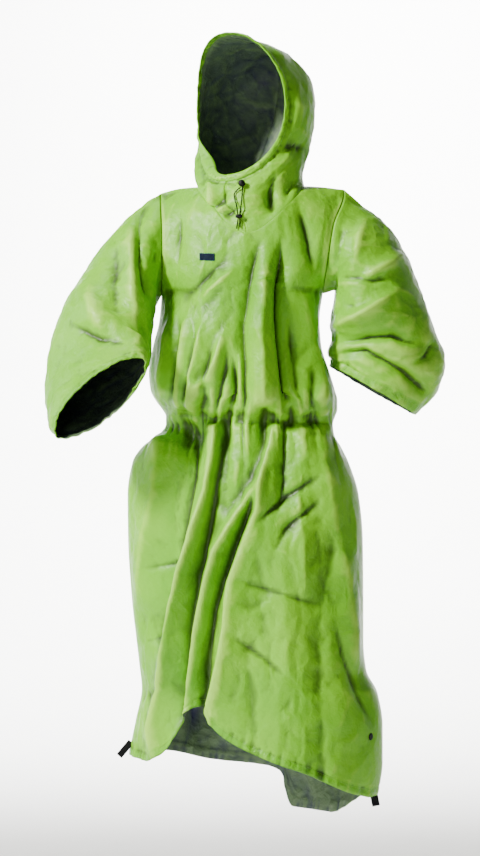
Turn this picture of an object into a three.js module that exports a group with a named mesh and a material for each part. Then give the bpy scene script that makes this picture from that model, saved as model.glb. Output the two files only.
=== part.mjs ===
// A hooded rain poncho with wide short sleeves, in the shape that it has when it is worn.
// Millimetres, +Z up. The front faces -Y, the garment's left is +X, and the origin lies at the
// base of the neck, where the garment is held up.
// The tables below are laid out in a frame turned about Z by TURN from the part's own, in which
// x runs across the garment, y runs to its back and z runs up.
import * as THREE from 'three';

// Driving sizes
const TURN = THREE.MathUtils.degToRad(12);
const CLOTH = 2;
const HEM_CLOTH = 2.8;
const CHANNEL_CLOTH = 4.4;
const SEAM_GAP = 0.3;
const LABEL_CLEAR = 0.1;
const STOPPER_RADIUS = 6.3;
const CORD = 2.4;
const CORD_SIDES = 8;
const CORD_STEP = 6;
const FOLD_FADE = 45;
const SHOULDER_ROUND = 62;
const ARMPIT_Z = -178;
const BLOUSE_END_Z = -430;
const HEM_LEVEL = -1000;
const NECK_SHARE = 0.57;
const SHOULDER_COLUMNS = 6;
const FRONT_NECK_COLUMNS = 18;
const BACK_NECK_COLUMNS = 10;
const HOOD_CENTRE_X = 8;
const HOOD_FULLNESS = 0.93;
const COLUMN_DRIFT = 0.26;
const SLEEVE_RINGS = 14;
const HOOD_RINGS = 13;
const HOOD_END = 0.955;
const CHANNEL_START = 0.963;
const EVEN_FROM = 0.5;
const HOOD_FRONT_HALF = 104;

// Rows between the shoulder and the armpit, and between the armpit and the end of the blouse
const YOKE_ROWS = [0, 0.02, 0.08, 0.17, 0.28, 0.4, 0.52, 0.64, 0.76, 0.88, 1];
const BLOUSE_ROWS = [-212, -248, -282, -312, -338, -358, -372, -383, -392, -403, -416, BLOUSE_END_Z];
const SKIRT_ROWS = 18;
const WAIST_GATHERS = 9;

// Body sections: height, right and left side seams, depth of front and back, and the roundness
// of the corner at the side seam (1 is slack, 0.5 meets the side at a right angle)
const bodySections = [
  { z: 30, right: -158, left: 172, front: 92, back: 82, round: 1 },
  { z: 0, right: -158, left: 172, front: 96, back: 90, round: 1 },
  { z: -60, right: -155, left: 152, front: 106, back: 108, round: 0.95 },
  { z: -120, right: -154, left: 142, front: 118, back: 122, round: 0.8 },
  { z: -178, right: -156, left: 134, front: 130, back: 128, round: 0.62 },
  { z: -225, right: -160, left: 128, front: 138, back: 128, round: 0.52 },
  { z: -270, right: -171, left: 131, front: 145, back: 126, round: 0.5 },
  { z: -320, right: -179, left: 146, front: 152, back: 124, round: 0.5 },
  { z: -350, right: -176, left: 155, front: 154, back: 123, round: 0.5 },
  { z: -370, right: -166, left: 160, front: 148, back: 121, round: 0.5 },
  { z: -386, right: -154, left: 160, front: 132, back: 117, round: 0.5 },
  { z: -398, right: -148, left: 156, front: 112, back: 112, round: 0.5 },
  { z: -412, right: -148, left: 152, front: 106, back: 109, round: 0.5 },
  { z: -430, right: -160, left: 154, front: 110, back: 111, round: 0.5 },
  { z: -452, right: -190, left: 166, front: 119, back: 117, round: 0.5 },
  { z: -481, right: -209, left: 180, front: 127, back: 124, round: 0.5 },
  { z: -540, right: -218, left: 198, front: 136, back: 136, round: 0.5 },
  { z: -620, right: -217, left: 205, front: 145, back: 147, round: 0.5 },
  { z: -729, right: -210, left: 206, front: 154, back: 155, round: 0.5 },
  { z: -800, right: -202, left: 206, front: 159, back: 159, round: 0.5 },
  { z: -850, right: -196, left: 211, front: 163, back: 162, round: 0.56 },
  { z: -891, right: -192, left: 231, front: 166, back: 164, round: 0.62 },
  { z: -949, right: -203, left: 240, front: 170, back: 167, round: 0.68 },
  { z: -1012, right: -214, left: 240, front: 174, back: 170, round: 0.72 },
  { z: -1130, right: -218, left: 214, front: 178, back: 172, round: 0.74 },
];

// Armhole: how far its front and back edges stand from the shoulder line
const armholeSections = [
  { z: 30, spread: 0 },
  { z: 8, spread: 0 },
  { z: -20, spread: 34 },
  { z: -60, spread: 58 },
  { z: -100, spread: 66 },
  { z: -140, spread: 54 },
  { z: -165, spread: 26 },
  { z: ARMPIT_Z, spread: 0 },
  { z: -1200, spread: 0 },
];

// Shoulder line, neckline and hems, as heights over x
const shoulderLine = [
  { x: -170, z: 2 },
  { x: -120, z: 14 },
  { x: -80, z: 16 },
  { x: 100, z: 14 },
  { x: 130, z: 12 },
  { x: 175, z: 6 },
];
const frontNeckDrop = 90;
const backNeckDrop = 26;
const frontHem = [
  { x: -210, z: -1012 },
  { x: -180, z: -1014 },
  { x: -155, z: -1002 },
  { x: -138, z: -978 },
  { x: -122, z: -925 },
  { x: -106, z: -909 },
  { x: -84, z: -910 },
  { x: -72, z: -936 },
  { x: -32, z: -968 },
  { x: 40, z: -999 },
  { x: 103, z: -1021 },
  { x: 184, z: -1058 },
  { x: 222, z: -1071 },
];
const backHem = [
  { x: -210, z: -1012 },
  { x: -165, z: -1013 },
  { x: -60, z: -1036 },
  { x: 40, z: -1046 },
  { x: 66, z: -1056 },
  { x: 82, z: -1092 },
  { x: 102, z: -1119 },
  { x: 172, z: -1121 },
  { x: 195, z: -1106 },
  { x: 222, z: -1071 },
];

// Hood, from the neckline (at 0) to the face opening (at 1). Forward distances are measured in
// the hood's own middle plane, which turns by yaw as it rises.
const hoodSections = [
  { at: 0, throat: 100, throatZ: -74, crown: -88, crownZ: 8, half: 95, setback: 6, lift: 47, yaw: 13 },
  { at: 0.12, throat: 101, throatZ: -61, crown: -96, crownZ: 50, half: 90, setback: 9, lift: 42, yaw: 13 },
  { at: 0.25, throat: 102, throatZ: -47, crown: -108, crownZ: 102,
    half: 92, setback: 15, lift: 29, yaw: 17 },
  { at: 0.4, throat: 103, throatZ: -33, crown: -117, crownZ: 160,
    half: 98, setback: 17, lift: 13, yaw: 22 },
  { at: 0.55, throat: 101, throatZ: -20, crown: -108, crownZ: 220,
    half: 106, setback: 16, lift: 3, yaw: 28 },
  { at: 0.7, throat: 97, throatZ: -8, crown: -76, crownZ: 255, half: 109, setback: 20, lift: 0, yaw: 31 },
  { at: 0.82, throat: 92, throatZ: 3, crown: -20, crownZ: 270, half: 106, setback: 34, lift: 0, yaw: 32 },
  { at: 0.91, throat: 87, throatZ: 11, crown: 38, crownZ: 277, half: 101, setback: 46, lift: 0, yaw: 33 },
  { at: 0.955, throat: 84, throatZ: 17, crown: 70, crownZ: 279, half: 96, setback: 51, lift: 0, yaw: 33 },
  { at: 1, throat: 81, throatZ: 31, crown: 86, crownZ: 282, half: 93, setback: 45, lift: 0, yaw: 33 },
];

// Sleeves, from the armhole (at 0) to the cuff (at 1): the ring's centre, its half to the outer
// side and its half to the front
const rightSleeve = [
  { at: 0, centre: [-156, 33, -86], outer: [0, 0, 92], front: [0, -60, 0] },
  { at: 0.2, centre: [-191, 17, -119], outer: [-24, 2, 83], front: [10, -80, 0] },
  { at: 0.4, centre: [-226, -5, -184], outer: [-50, 8, 66], front: [26, -94, -8] },
  { at: 0.6, centre: [-258, -40, -260], outer: [-74, 12, 50], front: [42, -86, 30] },
  { at: 0.78, centre: [-268, -88, -318], outer: [-84, 22, 4], front: [40, -52, 70] },
  { at: 0.9, centre: [-264, -138, -350], outer: [-80, 10, -20], front: [38, -26, 72] },
  { at: 1, centre: [-258, -180, -368], outer: [-70, 0, -30], front: [36, -10, 64] },
];
const leftSleeve = [
  { at: 0, centre: [150, -32, -86], outer: [18, 0, 92], front: [0, -60, 0] },
  { at: 0.18, centre: [202, -34, -118], outer: [46, 0, 59], front: [-6, -82, 0] },
  { at: 0.36, centre: [218, -34, -178], outer: [70, 0, 54], front: [-4, -96, 0] },
  { at: 0.54, centre: [232, -32, -226], outer: [82, 0, 36], front: [0, -102, 0] },
  { at: 0.7, centre: [242, -30, -270], outer: [98, 0, 14], front: [0, -102, 0] },
  { at: 0.82, centre: [250, -29, -300], outer: [102, 0, -4], front: [0, -98, 0] },
  { at: 0.92, centre: [244, -28, -326], outer: [94, 0, -26], front: [0, -90, 0] },
  { at: 1, centre: [223, -28, -351], outer: [75, 0, -43], front: [0, -80, 0] },
];

// Folds on the side that faces the front: the piece, the line that the fold follows as [x, z]
// points, its reach to each side of the line and its height (a trough is negative)
const frontFolds = [
  { on: 'body', line: [[18, -90], [7, -140], [-3, -195], [-9, -250], [-10, -385]],
    left: 20, right: 9, height: -10 },
  { on: 'body', line: [[61, -90], [54, -130], [52, -207], [60, -310], [66, -375]],
    left: 9, right: 24, height: -14 },
  { on: 'body', line: [[34, -110], [28, -200], [26, -300], [30, -370]], left: 20, right: 20, height: 9 },
  { on: 'body', line: [[-74, -235], [-95, -335], [-100, -385]], left: 12, right: 16, height: 9 },
  { on: 'body', line: [[-38, -265], [-59, -315], [-92, -345], [-100, -380]],
    left: 12, right: 14, height: 9 },
  { on: 'body', line: [[-60, -270], [-76, -330], [-82, -385]], left: 11, right: 11, height: -7 },
  { on: 'body', line: [[-118, -240], [-134, -320], [-130, -375]], left: 16, right: 16, height: 7 },
  { on: 'body', line: [[-28, -300], [-26, -340], [-28, -380]], left: 10, right: 10, height: -9 },
  { on: 'body', line: [[94, -200], [117, -280], [130, -330]], left: 16, right: 18, height: 9 },
  { on: 'body', line: [[78, -240], [86, -300], [96, -370]], left: 16, right: 16, height: -8 },
  { on: 'body', line: [[-122, 0], [-126, -60], [-128, -120], [-134, -160]],
    left: 12, right: 12, height: -10 },
  { on: 'body', line: [[84, 5], [100, -60], [116, -130], [122, -175]], left: 12, right: 14, height: -10 },
  { on: 'body', line: [[-58, -420], [-70, -495], [-88, -571], [-104, -644],
      [-122, -729], [-144, -872], [-168, -1040]],
    left: 34, right: 22, height: 20 },
  { on: 'body', line: [[-44, -420], [-58, -510], [-74, -592], [-86, -680], [-100, -790], [-132, -1000]],
    left: 18, right: 18, height: -18 },
  { on: 'body', line: [[20, -440], [10, -520], [-34, -610], [-62, -690], [-84, -800], [-104, -980]],
    left: 18, right: 16, height: 13 },
  { on: 'body', line: [[8, -520], [-2, -574], [-25, -646], [-46, -695], [-60, -800], [-84, -980]],
    left: 15, right: 14, height: -14 },
  { on: 'body', line: [[44, -430], [36, -517], [22, -565], [-12, -644],
      [-33, -682], [-40, -790], [-72, -1000]],
    left: 16, right: 28, height: 15 },
  { on: 'body', line: [[-144, -420], [-160, -500], [-178, -592], [-196, -720]],
    left: 18, right: 18, height: 10 },
  { on: 'body', line: [[-112, -420], [-120, -500], [-124, -560], [-136, -657], [-172, -780]],
    left: 22, right: 22, height: -11 },
  { on: 'body', line: [[150, -500], [110, -520], [78, -535], [52, -560], [27, -582]],
    left: 9, right: 14, height: -8 },
  { on: 'body', line: [[140, -530], [108, -540], [76, -568], [44, -628]], left: 9, right: 14, height: -7 },
  { on: 'body', line: [[62, -425], [80, -500], [96, -600], [104, -720]], left: 20, right: 20, height: 8 },
  { on: 'body', line: [[164, -590], [132, -713], [122, -800], [128, -900], [136, -1100]],
    left: 24, right: 24, height: -11 },
  { on: 'body', line: [[150, -760], [168, -819], [190, -873], [226, -940]],
    left: 12, right: 18, height: -9 },
  { on: 'body', line: [[110, -425], [146, -560], [174, -700], [190, -860]],
    left: 24, right: 24, height: 10 },
  { on: 'body', line: [[50, -620], [64, -760], [78, -900], [92, -1100]], left: 34, right: 34, height: 10 },
  { on: 'body', line: [[-6, -760], [6, -860], [16, -1060]], left: 26, right: 26, height: -8 },
  { on: 'body', line: [[-120, -850], [-160, -890], [-206, -915]], left: 14, right: 14, height: -6 },
  { on: 'hood', line: [[-22, 14], [-44, -10]], left: 9, right: 9, height: -6 },
  { on: 'hood', line: [[48, 34], [46, 8], [44, -30]], left: 12, right: 7, height: -6 },
  { on: 'hood', line: [[74, 30], [71, 4], [68, -14]], left: 9, right: 9, height: -6 },
  { on: 'hood', line: [[60, 80], [88, 80], [116, 74]], left: 14, right: 14, height: -9 },
  { on: 'hood', line: [[62, 200], [80, 150], [78, 100]], left: 16, right: 16, height: 6 },
  { on: 'sleeveRight', line: [[-205, -45], [-202, -150], [-200, -243]], left: 14, right: 14, height: 10 },
  { on: 'sleeveRight', line: [[-182, -20], [-198, -54], [-194, -126], [-170, -190], [-158, -216]],
    left: 12, right: 14, height: -11 },
  { on: 'sleeveRight', line: [[-157, -74], [-153, -122], [-146, -153]], left: 8, right: 10, height: -9 },
  { on: 'sleeveRight', line: [[-290, -160], [-262, -240], [-240, -262]], left: 24, right: 24, height: 8 },
  { on: 'sleeveRight', line: [[-310, -230], [-262, -262], [-200, -268]], left: 10, right: 14, height: -7 },
  { on: 'sleeveLeft', line: [[148, -243], [211, -211], [265, -175]], left: 16, right: 12, height: 12 },
  { on: 'sleeveLeft', line: [[148, -265], [256, -257], [310, -275]], left: 12, right: 12, height: -13 },
  { on: 'sleeveLeft', line: [[148, -292], [202, -288], [274, -324], [318, -355]],
    left: 10, right: 12, height: -13 },
  { on: 'sleeveLeft', line: [[175, -171], [229, -144], [274, -112]], left: 15, right: 15, height: 11 },
  { on: 'sleeveLeft', line: [[166, -150], [220, -160], [250, -140]], left: 14, right: 14, height: -9 },
  { on: 'sleeveLeft', line: [[166, 0], [150, -50], [144, -110]], left: 10, right: 10, height: 8 },
  { on: 'sleeveLeft', line: [[184, -8], [162, -62], [156, -130]], left: 10, right: 12, height: -8 },
  { on: 'sleeveLeft', line: [[334, -262], [318, -292], [290, -306]], left: 10, right: 10, height: -9 },
];

// Folds on the side that faces the back, in the same columns
const backFolds = [
  { on: 'body', line: [[-60, -300], [-56, -400], [-70, -560], [-90, -800], [-100, -1020]],
    left: 26, right: 26, height: 14 },
  { on: 'body', line: [[-20, -380], [-22, -560], [-36, -800], [-40, -1030]],
    left: 22, right: 22, height: -12 },
  { on: 'body', line: [[24, -340], [26, -480], [36, -700], [46, -1030]], left: 24, right: 24, height: 13 },
  { on: 'body', line: [[66, -360], [72, -520], [94, -760], [120, -1060]],
    left: 22, right: 22, height: -13 },
  { on: 'body', line: [[104, -330], [114, -520], [146, -760], [170, -1040]],
    left: 22, right: 22, height: 12 },
  { on: 'body', line: [[-104, -350], [-118, -520], [-146, -760], [-160, -1000]],
    left: 22, right: 22, height: -12 },
  { on: 'body', line: [[-40, -60], [-30, -180], [-20, -300]], left: 30, right: 30, height: -7 },
  { on: 'body', line: [[60, -50], [50, -160], [44, -280]], left: 26, right: 26, height: 6 },
  { on: 'sleeveRight', line: [[-190, -40], [-220, -150], [-236, -260]], left: 18, right: 18, height: -10 },
  { on: 'sleeveRight', line: [[-216, -60], [-270, -190], [-300, -290]], left: 16, right: 16, height: 8 },
  { on: 'sleeveLeft', line: [[190, -50], [230, -160], [262, -270]], left: 18, right: 18, height: -10 },
  { on: 'sleeveLeft', line: [[160, -110], [190, -220], [214, -310]], left: 16, right: 16, height: 9 },
  { on: 'hood', line: [[40, 230], [60, 160], [50, 80]], left: 16, right: 16, height: -5 },
];

// Small gathers round the waist, alternately in and out
for (let i = 0; i < WAIST_GATHERS; i += 1) {
  const x = -140 + (280 / (WAIST_GATHERS - 1)) * i;
  const line = [[x * 0.96, -370], [x, -410], [x * 1.12, -480]];
  const height = i % 2 === 0 ? 4 : -4;
  frontFolds.push({ on: 'body', line, left: 12, right: 12, height });
  backFolds.push({ on: 'body', line, left: 12, right: 12, height });
}

// Small pieces: where they lie, and their own sizes
const label = { x: -72, z: -117, width: 27, height: 13, tilt: -0.06, thick: 0.8, columns: 4, rows: 2 };
const snap = {
  x: 216,
  z: -963,
  clear: 0.3,
  profile: [[0, 0], [5.9, 0], [5.9, 0.8], [5.3, 1.7], [3.2, 2.1], [2.6, 1.6], [0, 1.5]],
};
const stopperPlace = [-11, -97.8, 13];
const togglePlace = [-16, -109.3, -46];
const toggleProfile = [[0, -6], [2, -6], [3.2, -4], [3.6, 0], [3.2, 4], [2, 6], [0, 6]];
const cordRoutes = {
  cord_right: [
    [-13, -97.5, 6],
    [-19, -95.4, 1],
    [-24, -95.6, -6],
    [-23, -99.4, -16],
    [-20, -104, -27],
    [-18, -107.3, -41.9],
  ],
  cord_left: [
    [-9.5, -97.9, 6],
    [-10, -99.8, -4],
    [-11, -103.4, -16],
    [-12.5, -106.7, -29],
    [-14.5, -107.6, -41.9],
  ],
  cord_tail_right: [
    [-17.5, -107.4, -50.2],
    [-18.5, -107, -58],
    [-20, -106.5, -68],
  ],
  cord_tail_left: [
    [-14.5, -108, -50.2],
    [-14.2, -108.2, -59],
    [-13.5, -108.3, -66],
  ],
};
const tabRight = { x: -226.7, y: 44.3, z: -1006, width: 12, length: 25, thick: 2.4, lean: 40 };
const tabLeft = { x: 227, y: -49, z: -1082.9, width: 14, length: 20, thick: 2.4, lean: -12 };

const COLOURS = {
  cloth: new THREE.MeshStandardMaterial({ color: 0x8dc63f, roughness: 0.5, metalness: 0 }),
  label: new THREE.MeshStandardMaterial({ color: 0x1f4f7a, roughness: 0.7, metalness: 0 }),
  black: new THREE.MeshStandardMaterial({ color: 0x141517, roughness: 0.55, metalness: 0 }),
};

// A value from a table, smooth between its rows
function lookUp(table, key, at, name) {
  const rising = table[1][key] > table[0][key];
  const rows = rising ? table : [...table].reverse();
  if (at <= rows[0][key]) {
    return rows[0][name];
  }
  const last = rows.length - 1;
  if (at >= rows[last][key]) {
    return rows[last][name];
  }
  let i = 0;
  while (rows[i + 1][key] < at) {
    i += 1;
  }
  const span = rows[i + 1][key] - rows[i][key];
  const share = (at - rows[i][key]) / span;
  const rise = (n) => (rows[n + 1][name] - rows[n][name]) / (rows[n + 1][key] - rows[n][key]);
  const slope = (n) => {
    if (n === 0 || n === last) {
      return rise(n === 0 ? 0 : last - 1);
    }
    const below = rise(n - 1);
    const above = rise(n);
    return below * above > 0 ? (2 * below * above) / (below + above) : 0;
  };
  const s2 = share * share;
  const s3 = s2 * share;
  return (2 * s3 - 3 * s2 + 1) * rows[i][name] + (s3 - 2 * s2 + share) * span * slope(i)
    + (3 * s2 - 2 * s3) * rows[i + 1][name] + (s3 - s2) * span * slope(i + 1);
}

const mix = (a, b, share) => a + (b - a) * share;
const clamp = (value, low, high) => Math.min(Math.max(value, low), high);
const smooth = (share) => share * share * (3 - 2 * share);

// A point of the body: across runs from -1 at the right side to 1 at the left
function bodyPoint(across, z, side) {
  const right = lookUp(bodySections, 'z', z, 'right');
  const left = lookUp(bodySections, 'z', z, 'left');
  const x = mix(right, left, (across + 1) / 2);
  const depth = lookUp(bodySections, 'z', z, side);
  const round = lookUp(bodySections, 'z', z, 'round');
  const spread = lookUp(armholeSections, 'z', z, 'spread');
  const bulge = Math.pow(Math.max(1 - Math.pow(Math.abs(across), 2.2), 0), round);
  const drop = clamp((lookUp(shoulderLine, 'x', x, 'z') - z) / SHOULDER_ROUND, 0, 1);
  const over = Math.sqrt(1 - (1 - drop) * (1 - drop));
  const y = (spread + (depth - spread) * bulge) * over;
  return new THREE.Vector3(x, (side === 'front' ? -y : y) - x * Math.tan(TURN), z);
}

// Height of a panel's top edge: the shoulder seam outside the neck, the neckline inside it
function topEdge(across, side) {
  const right = lookUp(bodySections, 'z', 0, 'right');
  const left = lookUp(bodySections, 'z', 0, 'left');
  const shoulder = lookUp(shoulderLine, 'x', mix(right, left, (across + 1) / 2), 'z');
  const inside = clamp(1 - Math.abs(across) / NECK_SHARE, 0, 1);
  const drop = side === 'front' ? frontNeckDrop : backNeckDrop;
  return shoulder - drop * Math.pow(Math.sin((inside * Math.PI) / 2), 0.95);
}

// Where the columns of a panel lie across it. They crowd a little at the sides and the neck.
function columnPlaces(neckColumns) {
  const places = [];
  for (let i = 0; i < SHOULDER_COLUMNS; i += 1) {
    const share = i / SHOULDER_COLUMNS;
    places.push(mix(-1, -NECK_SHARE, mix(share, share * share, 0.4)));
  }
  for (let i = 0; i <= neckColumns; i += 1) {
    const share = i / neckColumns;
    places.push(-NECK_SHARE * mix(1 - 2 * share, Math.cos(share * Math.PI), 0.5));
  }
  for (let i = SHOULDER_COLUMNS - 1; i >= 0; i -= 1) {
    places.push(-places[i]);
  }
  return places;
}

function bodyGrid(side, neckColumns) {
  const hem = side === 'front' ? frontHem : backHem;
  const places = columnPlaces(neckColumns);
  const rows = [];
  for (const share of YOKE_ROWS) {
    rows.push(places.map((across) => bodyPoint(across, mix(topEdge(across, side), ARMPIT_Z, share), side)));
  }
  for (const z of BLOUSE_ROWS) {
    rows.push(places.map((across) => bodyPoint(across, z, side)));
  }
  for (let i = 1; i <= SKIRT_ROWS; i += 1) {
    const share = i / SKIRT_ROWS;
    rows.push(places.map((place) => {
      const drift = side === 'front' ? COLUMN_DRIFT * (1 - place * place) * share : 0;
      const across = place - drift;
      const end = lookUp(hem, 'x', bodyPoint(across, HEM_LEVEL, side).x, 'z');
      return bodyPoint(across, mix(BLOUSE_END_Z, end, share), side);
    }));
  }
  return rows;
}

// Distance from a fold's line in the xz plane, with its side and how far its end is
function besideLine(line, x, z) {
  let best = { distance: Infinity, side: 1, end: 0 };
  let walked = 0;
  const lengths = line.slice(1).map((p, i) => Math.hypot(p[0] - line[i][0], p[1] - line[i][1]));
  const total = lengths.reduce((sum, length) => sum + length, 0);
  for (let i = 0; i < lengths.length; i += 1) {
    const [ax, az] = line[i];
    const dx = (line[i + 1][0] - ax) / lengths[i];
    const dz = (line[i + 1][1] - az) / lengths[i];
    const along = clamp((x - ax) * dx + (z - az) * dz, 0, lengths[i]);
    const distance = Math.hypot(x - ax - dx * along, z - az - dz * along);
    if (distance < best.distance) {
      const cross = dx * (z - az) - dz * (x - ax);
      const end = Math.min(walked + along, total - walked - along);
      best = { distance, side: Math.sign(cross), end };
    }
    walked += lengths[i];
  }
  return best;
}

function foldHeight(folds, name, x, z) {
  let height = 0;
  for (const fold of folds) {
    if (fold.on === name) {
      const place = besideLine(fold.line, x, z);
      const reach = place.side > 0 ? fold.right : fold.left;
      const ends = smooth(clamp(place.end / FOLD_FADE, 0, 1));
      height += fold.height * ends * Math.exp(-Math.pow(place.distance / reach, 2));
    }
  }
  return height;
}

// Normals of a grid of points. A closed grid joins its last column to its first.
function gridNormals(grid, closed, flip) {
  const rows = grid.length;
  const columns = grid[0].length;
  return grid.map((row, i) => row.map((point, j) => {
    const before = closed ? (j + columns - 1) % columns : Math.max(j - 1, 0);
    const after = closed ? (j + 1) % columns : Math.min(j + 1, columns - 1);
    const across = row[after].clone().sub(row[before]);
    const down = grid[Math.min(i + 1, rows - 1)][j].clone().sub(grid[Math.max(i - 1, 0)][j]);
    const normal = across.cross(down).normalize();
    return flip ? normal.negate() : normal;
  }));
}

// Height of the folds at each point of a grid. They fade where keep falls to 0.
function foldHeights(grid, normals, name, keep) {
  return grid.map((row, i) => row.map((point, j) => {
    const normal = normals[i][j];
    const folds = normal.y < 0 ? frontFolds : backFolds;
    const facing = smooth(clamp(Math.abs(normal.y) * 1.6, 0, 1));
    return foldHeight(folds, name, point.x, point.z) * facing * keep(i, j);
  }));
}

function raised(grid, normals, heights) {
  return grid.map((row, i) => row.map((point, j) => (
    point.clone().addScaledVector(normals[i][j], heights[i][j]))));
}

// Sleeve and hood rings
const toVector = (list) => new THREE.Vector3(list[0], list[1], list[2]);

function sectionVector(table, at, name) {
  const axes = [0, 1, 2].map((axis) => {
    const flat = table.map((row) => ({ at: row.at, value: row[name][axis] }));
    return lookUp(flat, 'at', at, 'value');
  });
  return toVector(axes);
}

function sleevePoint(table, at, angle) {
  const point = sectionVector(table, at, 'centre');
  point.addScaledVector(sectionVector(table, at, 'outer'), Math.cos(angle));
  point.addScaledVector(sectionVector(table, at, 'front'), Math.sin(angle));
  return point;
}

function hoodPoint(at, angle) {
  const value = (name) => lookUp(hoodSections, 'at', at, name);
  const yaw = THREE.MathUtils.degToRad(value('yaw'));
  const ahead = new THREE.Vector3(-Math.sin(yaw), -Math.cos(yaw), 0);
  const aside = new THREE.Vector3(Math.cos(yaw), -Math.sin(yaw), 0);
  const throat = ahead.clone().multiplyScalar(value('throat')).setZ(value('throatZ'));
  const crown = ahead.clone().multiplyScalar(value('crown')).setZ(value('crownZ'));
  const cos = Math.cos(angle);
  const sin = Math.sin(angle);
  const along = Math.sign(cos) * Math.pow(Math.abs(cos), HOOD_FULLNESS);
  const over = Math.sign(sin) * Math.pow(Math.abs(sin), HOOD_FULLNESS);
  const point = crown.clone().add(throat).multiplyScalar(0.5);
  point.addScaledVector(throat.clone().sub(crown), along / 2);
  point.addScaledVector(aside, value('half') * over);
  point.addScaledVector(ahead, -value('setback') * sin * sin);
  point.z += value('lift') * sin * sin;
  return point.add(new THREE.Vector3(HOOD_CENTRE_X, 0, 0));
}

// A tube of rings that starts exactly on a given loop and eases into its own form
function tubeGrid(loop, ringPlaces, pointAt, angleAt, ease) {
  const offsets = loop.map((point, i) => point.clone().sub(pointAt(0, angleAt(0, i))));
  return ringPlaces.map((at) => loop.map((point, i) => {
    const fade = clamp(1 - at / ease, 0, 1);
    return pointAt(at, angleAt(at, i)).addScaledVector(offsets[i], fade);
  }));
}

// Seams: every piece that meets at a seam shares the seam's points and its direction across the
// cloth, and draws back from it by half the gap
class Seams {
  constructor() {
    this.outward = new Map();
  }

  key(point) {
    return [point.x, point.y, point.z].map((value) => value.toFixed(3)).join(' ');
  }

  note(point, normal) {
    const key = this.key(point);
    const sum = this.outward.get(key) ?? new THREE.Vector3();
    this.outward.set(key, sum.add(normal));
  }

  across(point) {
    return this.outward.get(this.key(point)).clone().normalize();
  }
}

// The edge runs of a grid that lie on seams: lists of [row, column] in order
function edgeRun(fixed, from, to, alongRow) {
  const step = Math.sign(to - from);
  const run = [];
  for (let n = from; n !== to + step; n += step) {
    run.push(alongRow ? [fixed, n] : [n, fixed]);
  }
  return run;
}

// A wall from a grid of points: an outer and an inner skin joined at the edges
function wallGeometry(piece, seams) {
  const { grid, normals, heights, runs, closed, thickness, flip } = piece;
  const rows = grid.length;
  const columns = grid[0].length;
  const centre = grid.map((row) => row.map((point) => point.clone()));
  const offset = normals.map((row) => row.map((normal) => normal.clone()));
  for (const run of runs) {
    run.cells.forEach(([i, j], n) => {
      const here = grid[i][j];
      const last = run.cells.length - 1;
      const [bi, bj] = run.cells[run.loop ? (n + last) % (last + 1) : Math.max(n - 1, 0)];
      const [ai, aj] = run.cells[run.loop ? (n + 1) % (last + 1) : Math.min(n + 1, last)];
      const along = grid[ai][aj].clone().sub(grid[bi][bj]).normalize();
      const outward = seams.across(here);
      const [ii, ij] = run.inner(i, j);
      const inward = grid[ii][ij].clone().sub(here);
      const draw = along.cross(outward).normalize();
      if (draw.dot(inward) < 0) {
        draw.negate();
      }
      centre[i][j].addScaledVector(draw, SEAM_GAP / 2);
      offset[i][j] = outward;
    });
  }
  const positions = [];
  for (const sign of [1, -1]) {
    for (let i = 0; i < rows; i += 1) {
      for (let j = 0; j < columns; j += 1) {
        const p = centre[i][j].clone().addScaledVector(offset[i][j], (sign * thickness(i, j)) / 2);
        positions.push(p.x, p.y, p.z);
      }
    }
  }
  const inside = rows * columns;
  const faces = [];
  const quad = (a, b, c, d) => {
    if (flip) {
      faces.push(a, b, c, a, c, d);
    } else {
      faces.push(a, c, b, a, d, c);
    }
  };
  const spans = closed ? columns : columns - 1;
  for (let i = 0; i < rows - 1; i += 1) {
    for (let j = 0; j < spans; j += 1) {
      const next = (j + 1) % columns;
      const a = i * columns + j;
      const b = i * columns + next;
      const c = b + columns;
      const d = a + columns;
      const turn = Math.abs(heights[i][j] - heights[i + 1][next])
        > Math.abs(heights[i][next] - heights[i + 1][j]);
      const cell = turn ? [b, c, d, a] : [a, b, c, d];
      quad(...cell);
      quad(...cell.map((corner) => inside + corner).reverse());
    }
  }
  // The faces along an edge split the same way on both sides of a seam
  const rank = (index) => {
    const point = grid[Math.floor(index / columns)][index % columns];
    return point.x + point.z;
  };
  const edge = (a, b) => {
    const cell = [a, b, inside + b, inside + a];
    quad(...(rank(a) > rank(b) ? cell : [...cell.slice(1), a]));
  };
  for (let j = 0; j < spans; j += 1) {
    const next = (j + 1) % columns;
    const low = (rows - 1) * columns;
    edge(next, j);
    edge(low + j, low + next);
  }
  if (!closed) {
    for (let i = 0; i < rows - 1; i += 1) {
      const first = i * columns;
      const last = first + columns - 1;
      edge(first, first + columns);
      edge(last + columns, last);
    }
  }
  const geometry = new THREE.BufferGeometry();
  geometry.setAttribute('position', new THREE.Float32BufferAttribute(positions, 3));
  geometry.setIndex(faces);
  geometry.computeVertexNormals();
  return geometry;
}

// Body grids, with folds that fade at the seams
const yoke = YOKE_ROWS.length - 1;
const fadeRows = 2;
function bodyKeep(columns) {
  return (i, j) => {
    const fromSide = Math.min(j, columns - 1 - j);
    return smooth(clamp(i / fadeRows, 0, 1)) * smooth(clamp(fromSide / 2, 0, 1));
  };
}

const frontPlain = bodyGrid('front', FRONT_NECK_COLUMNS);
const backPlain = bodyGrid('back', BACK_NECK_COLUMNS);
const frontColumns = frontPlain[0].length;
const backColumns = backPlain[0].length;
const frontNormals = gridNormals(frontPlain, false, true);
const backNormals = gridNormals(backPlain, false, false);
const frontHeights = foldHeights(frontPlain, frontNormals, 'body', bodyKeep(frontColumns));
const backHeights = foldHeights(backPlain, backNormals, 'body', bodyKeep(backColumns));
const front = raised(frontPlain, frontNormals, frontHeights);
const back = raised(backPlain, backNormals, backHeights);
const bodyRows = front.length;

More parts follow.
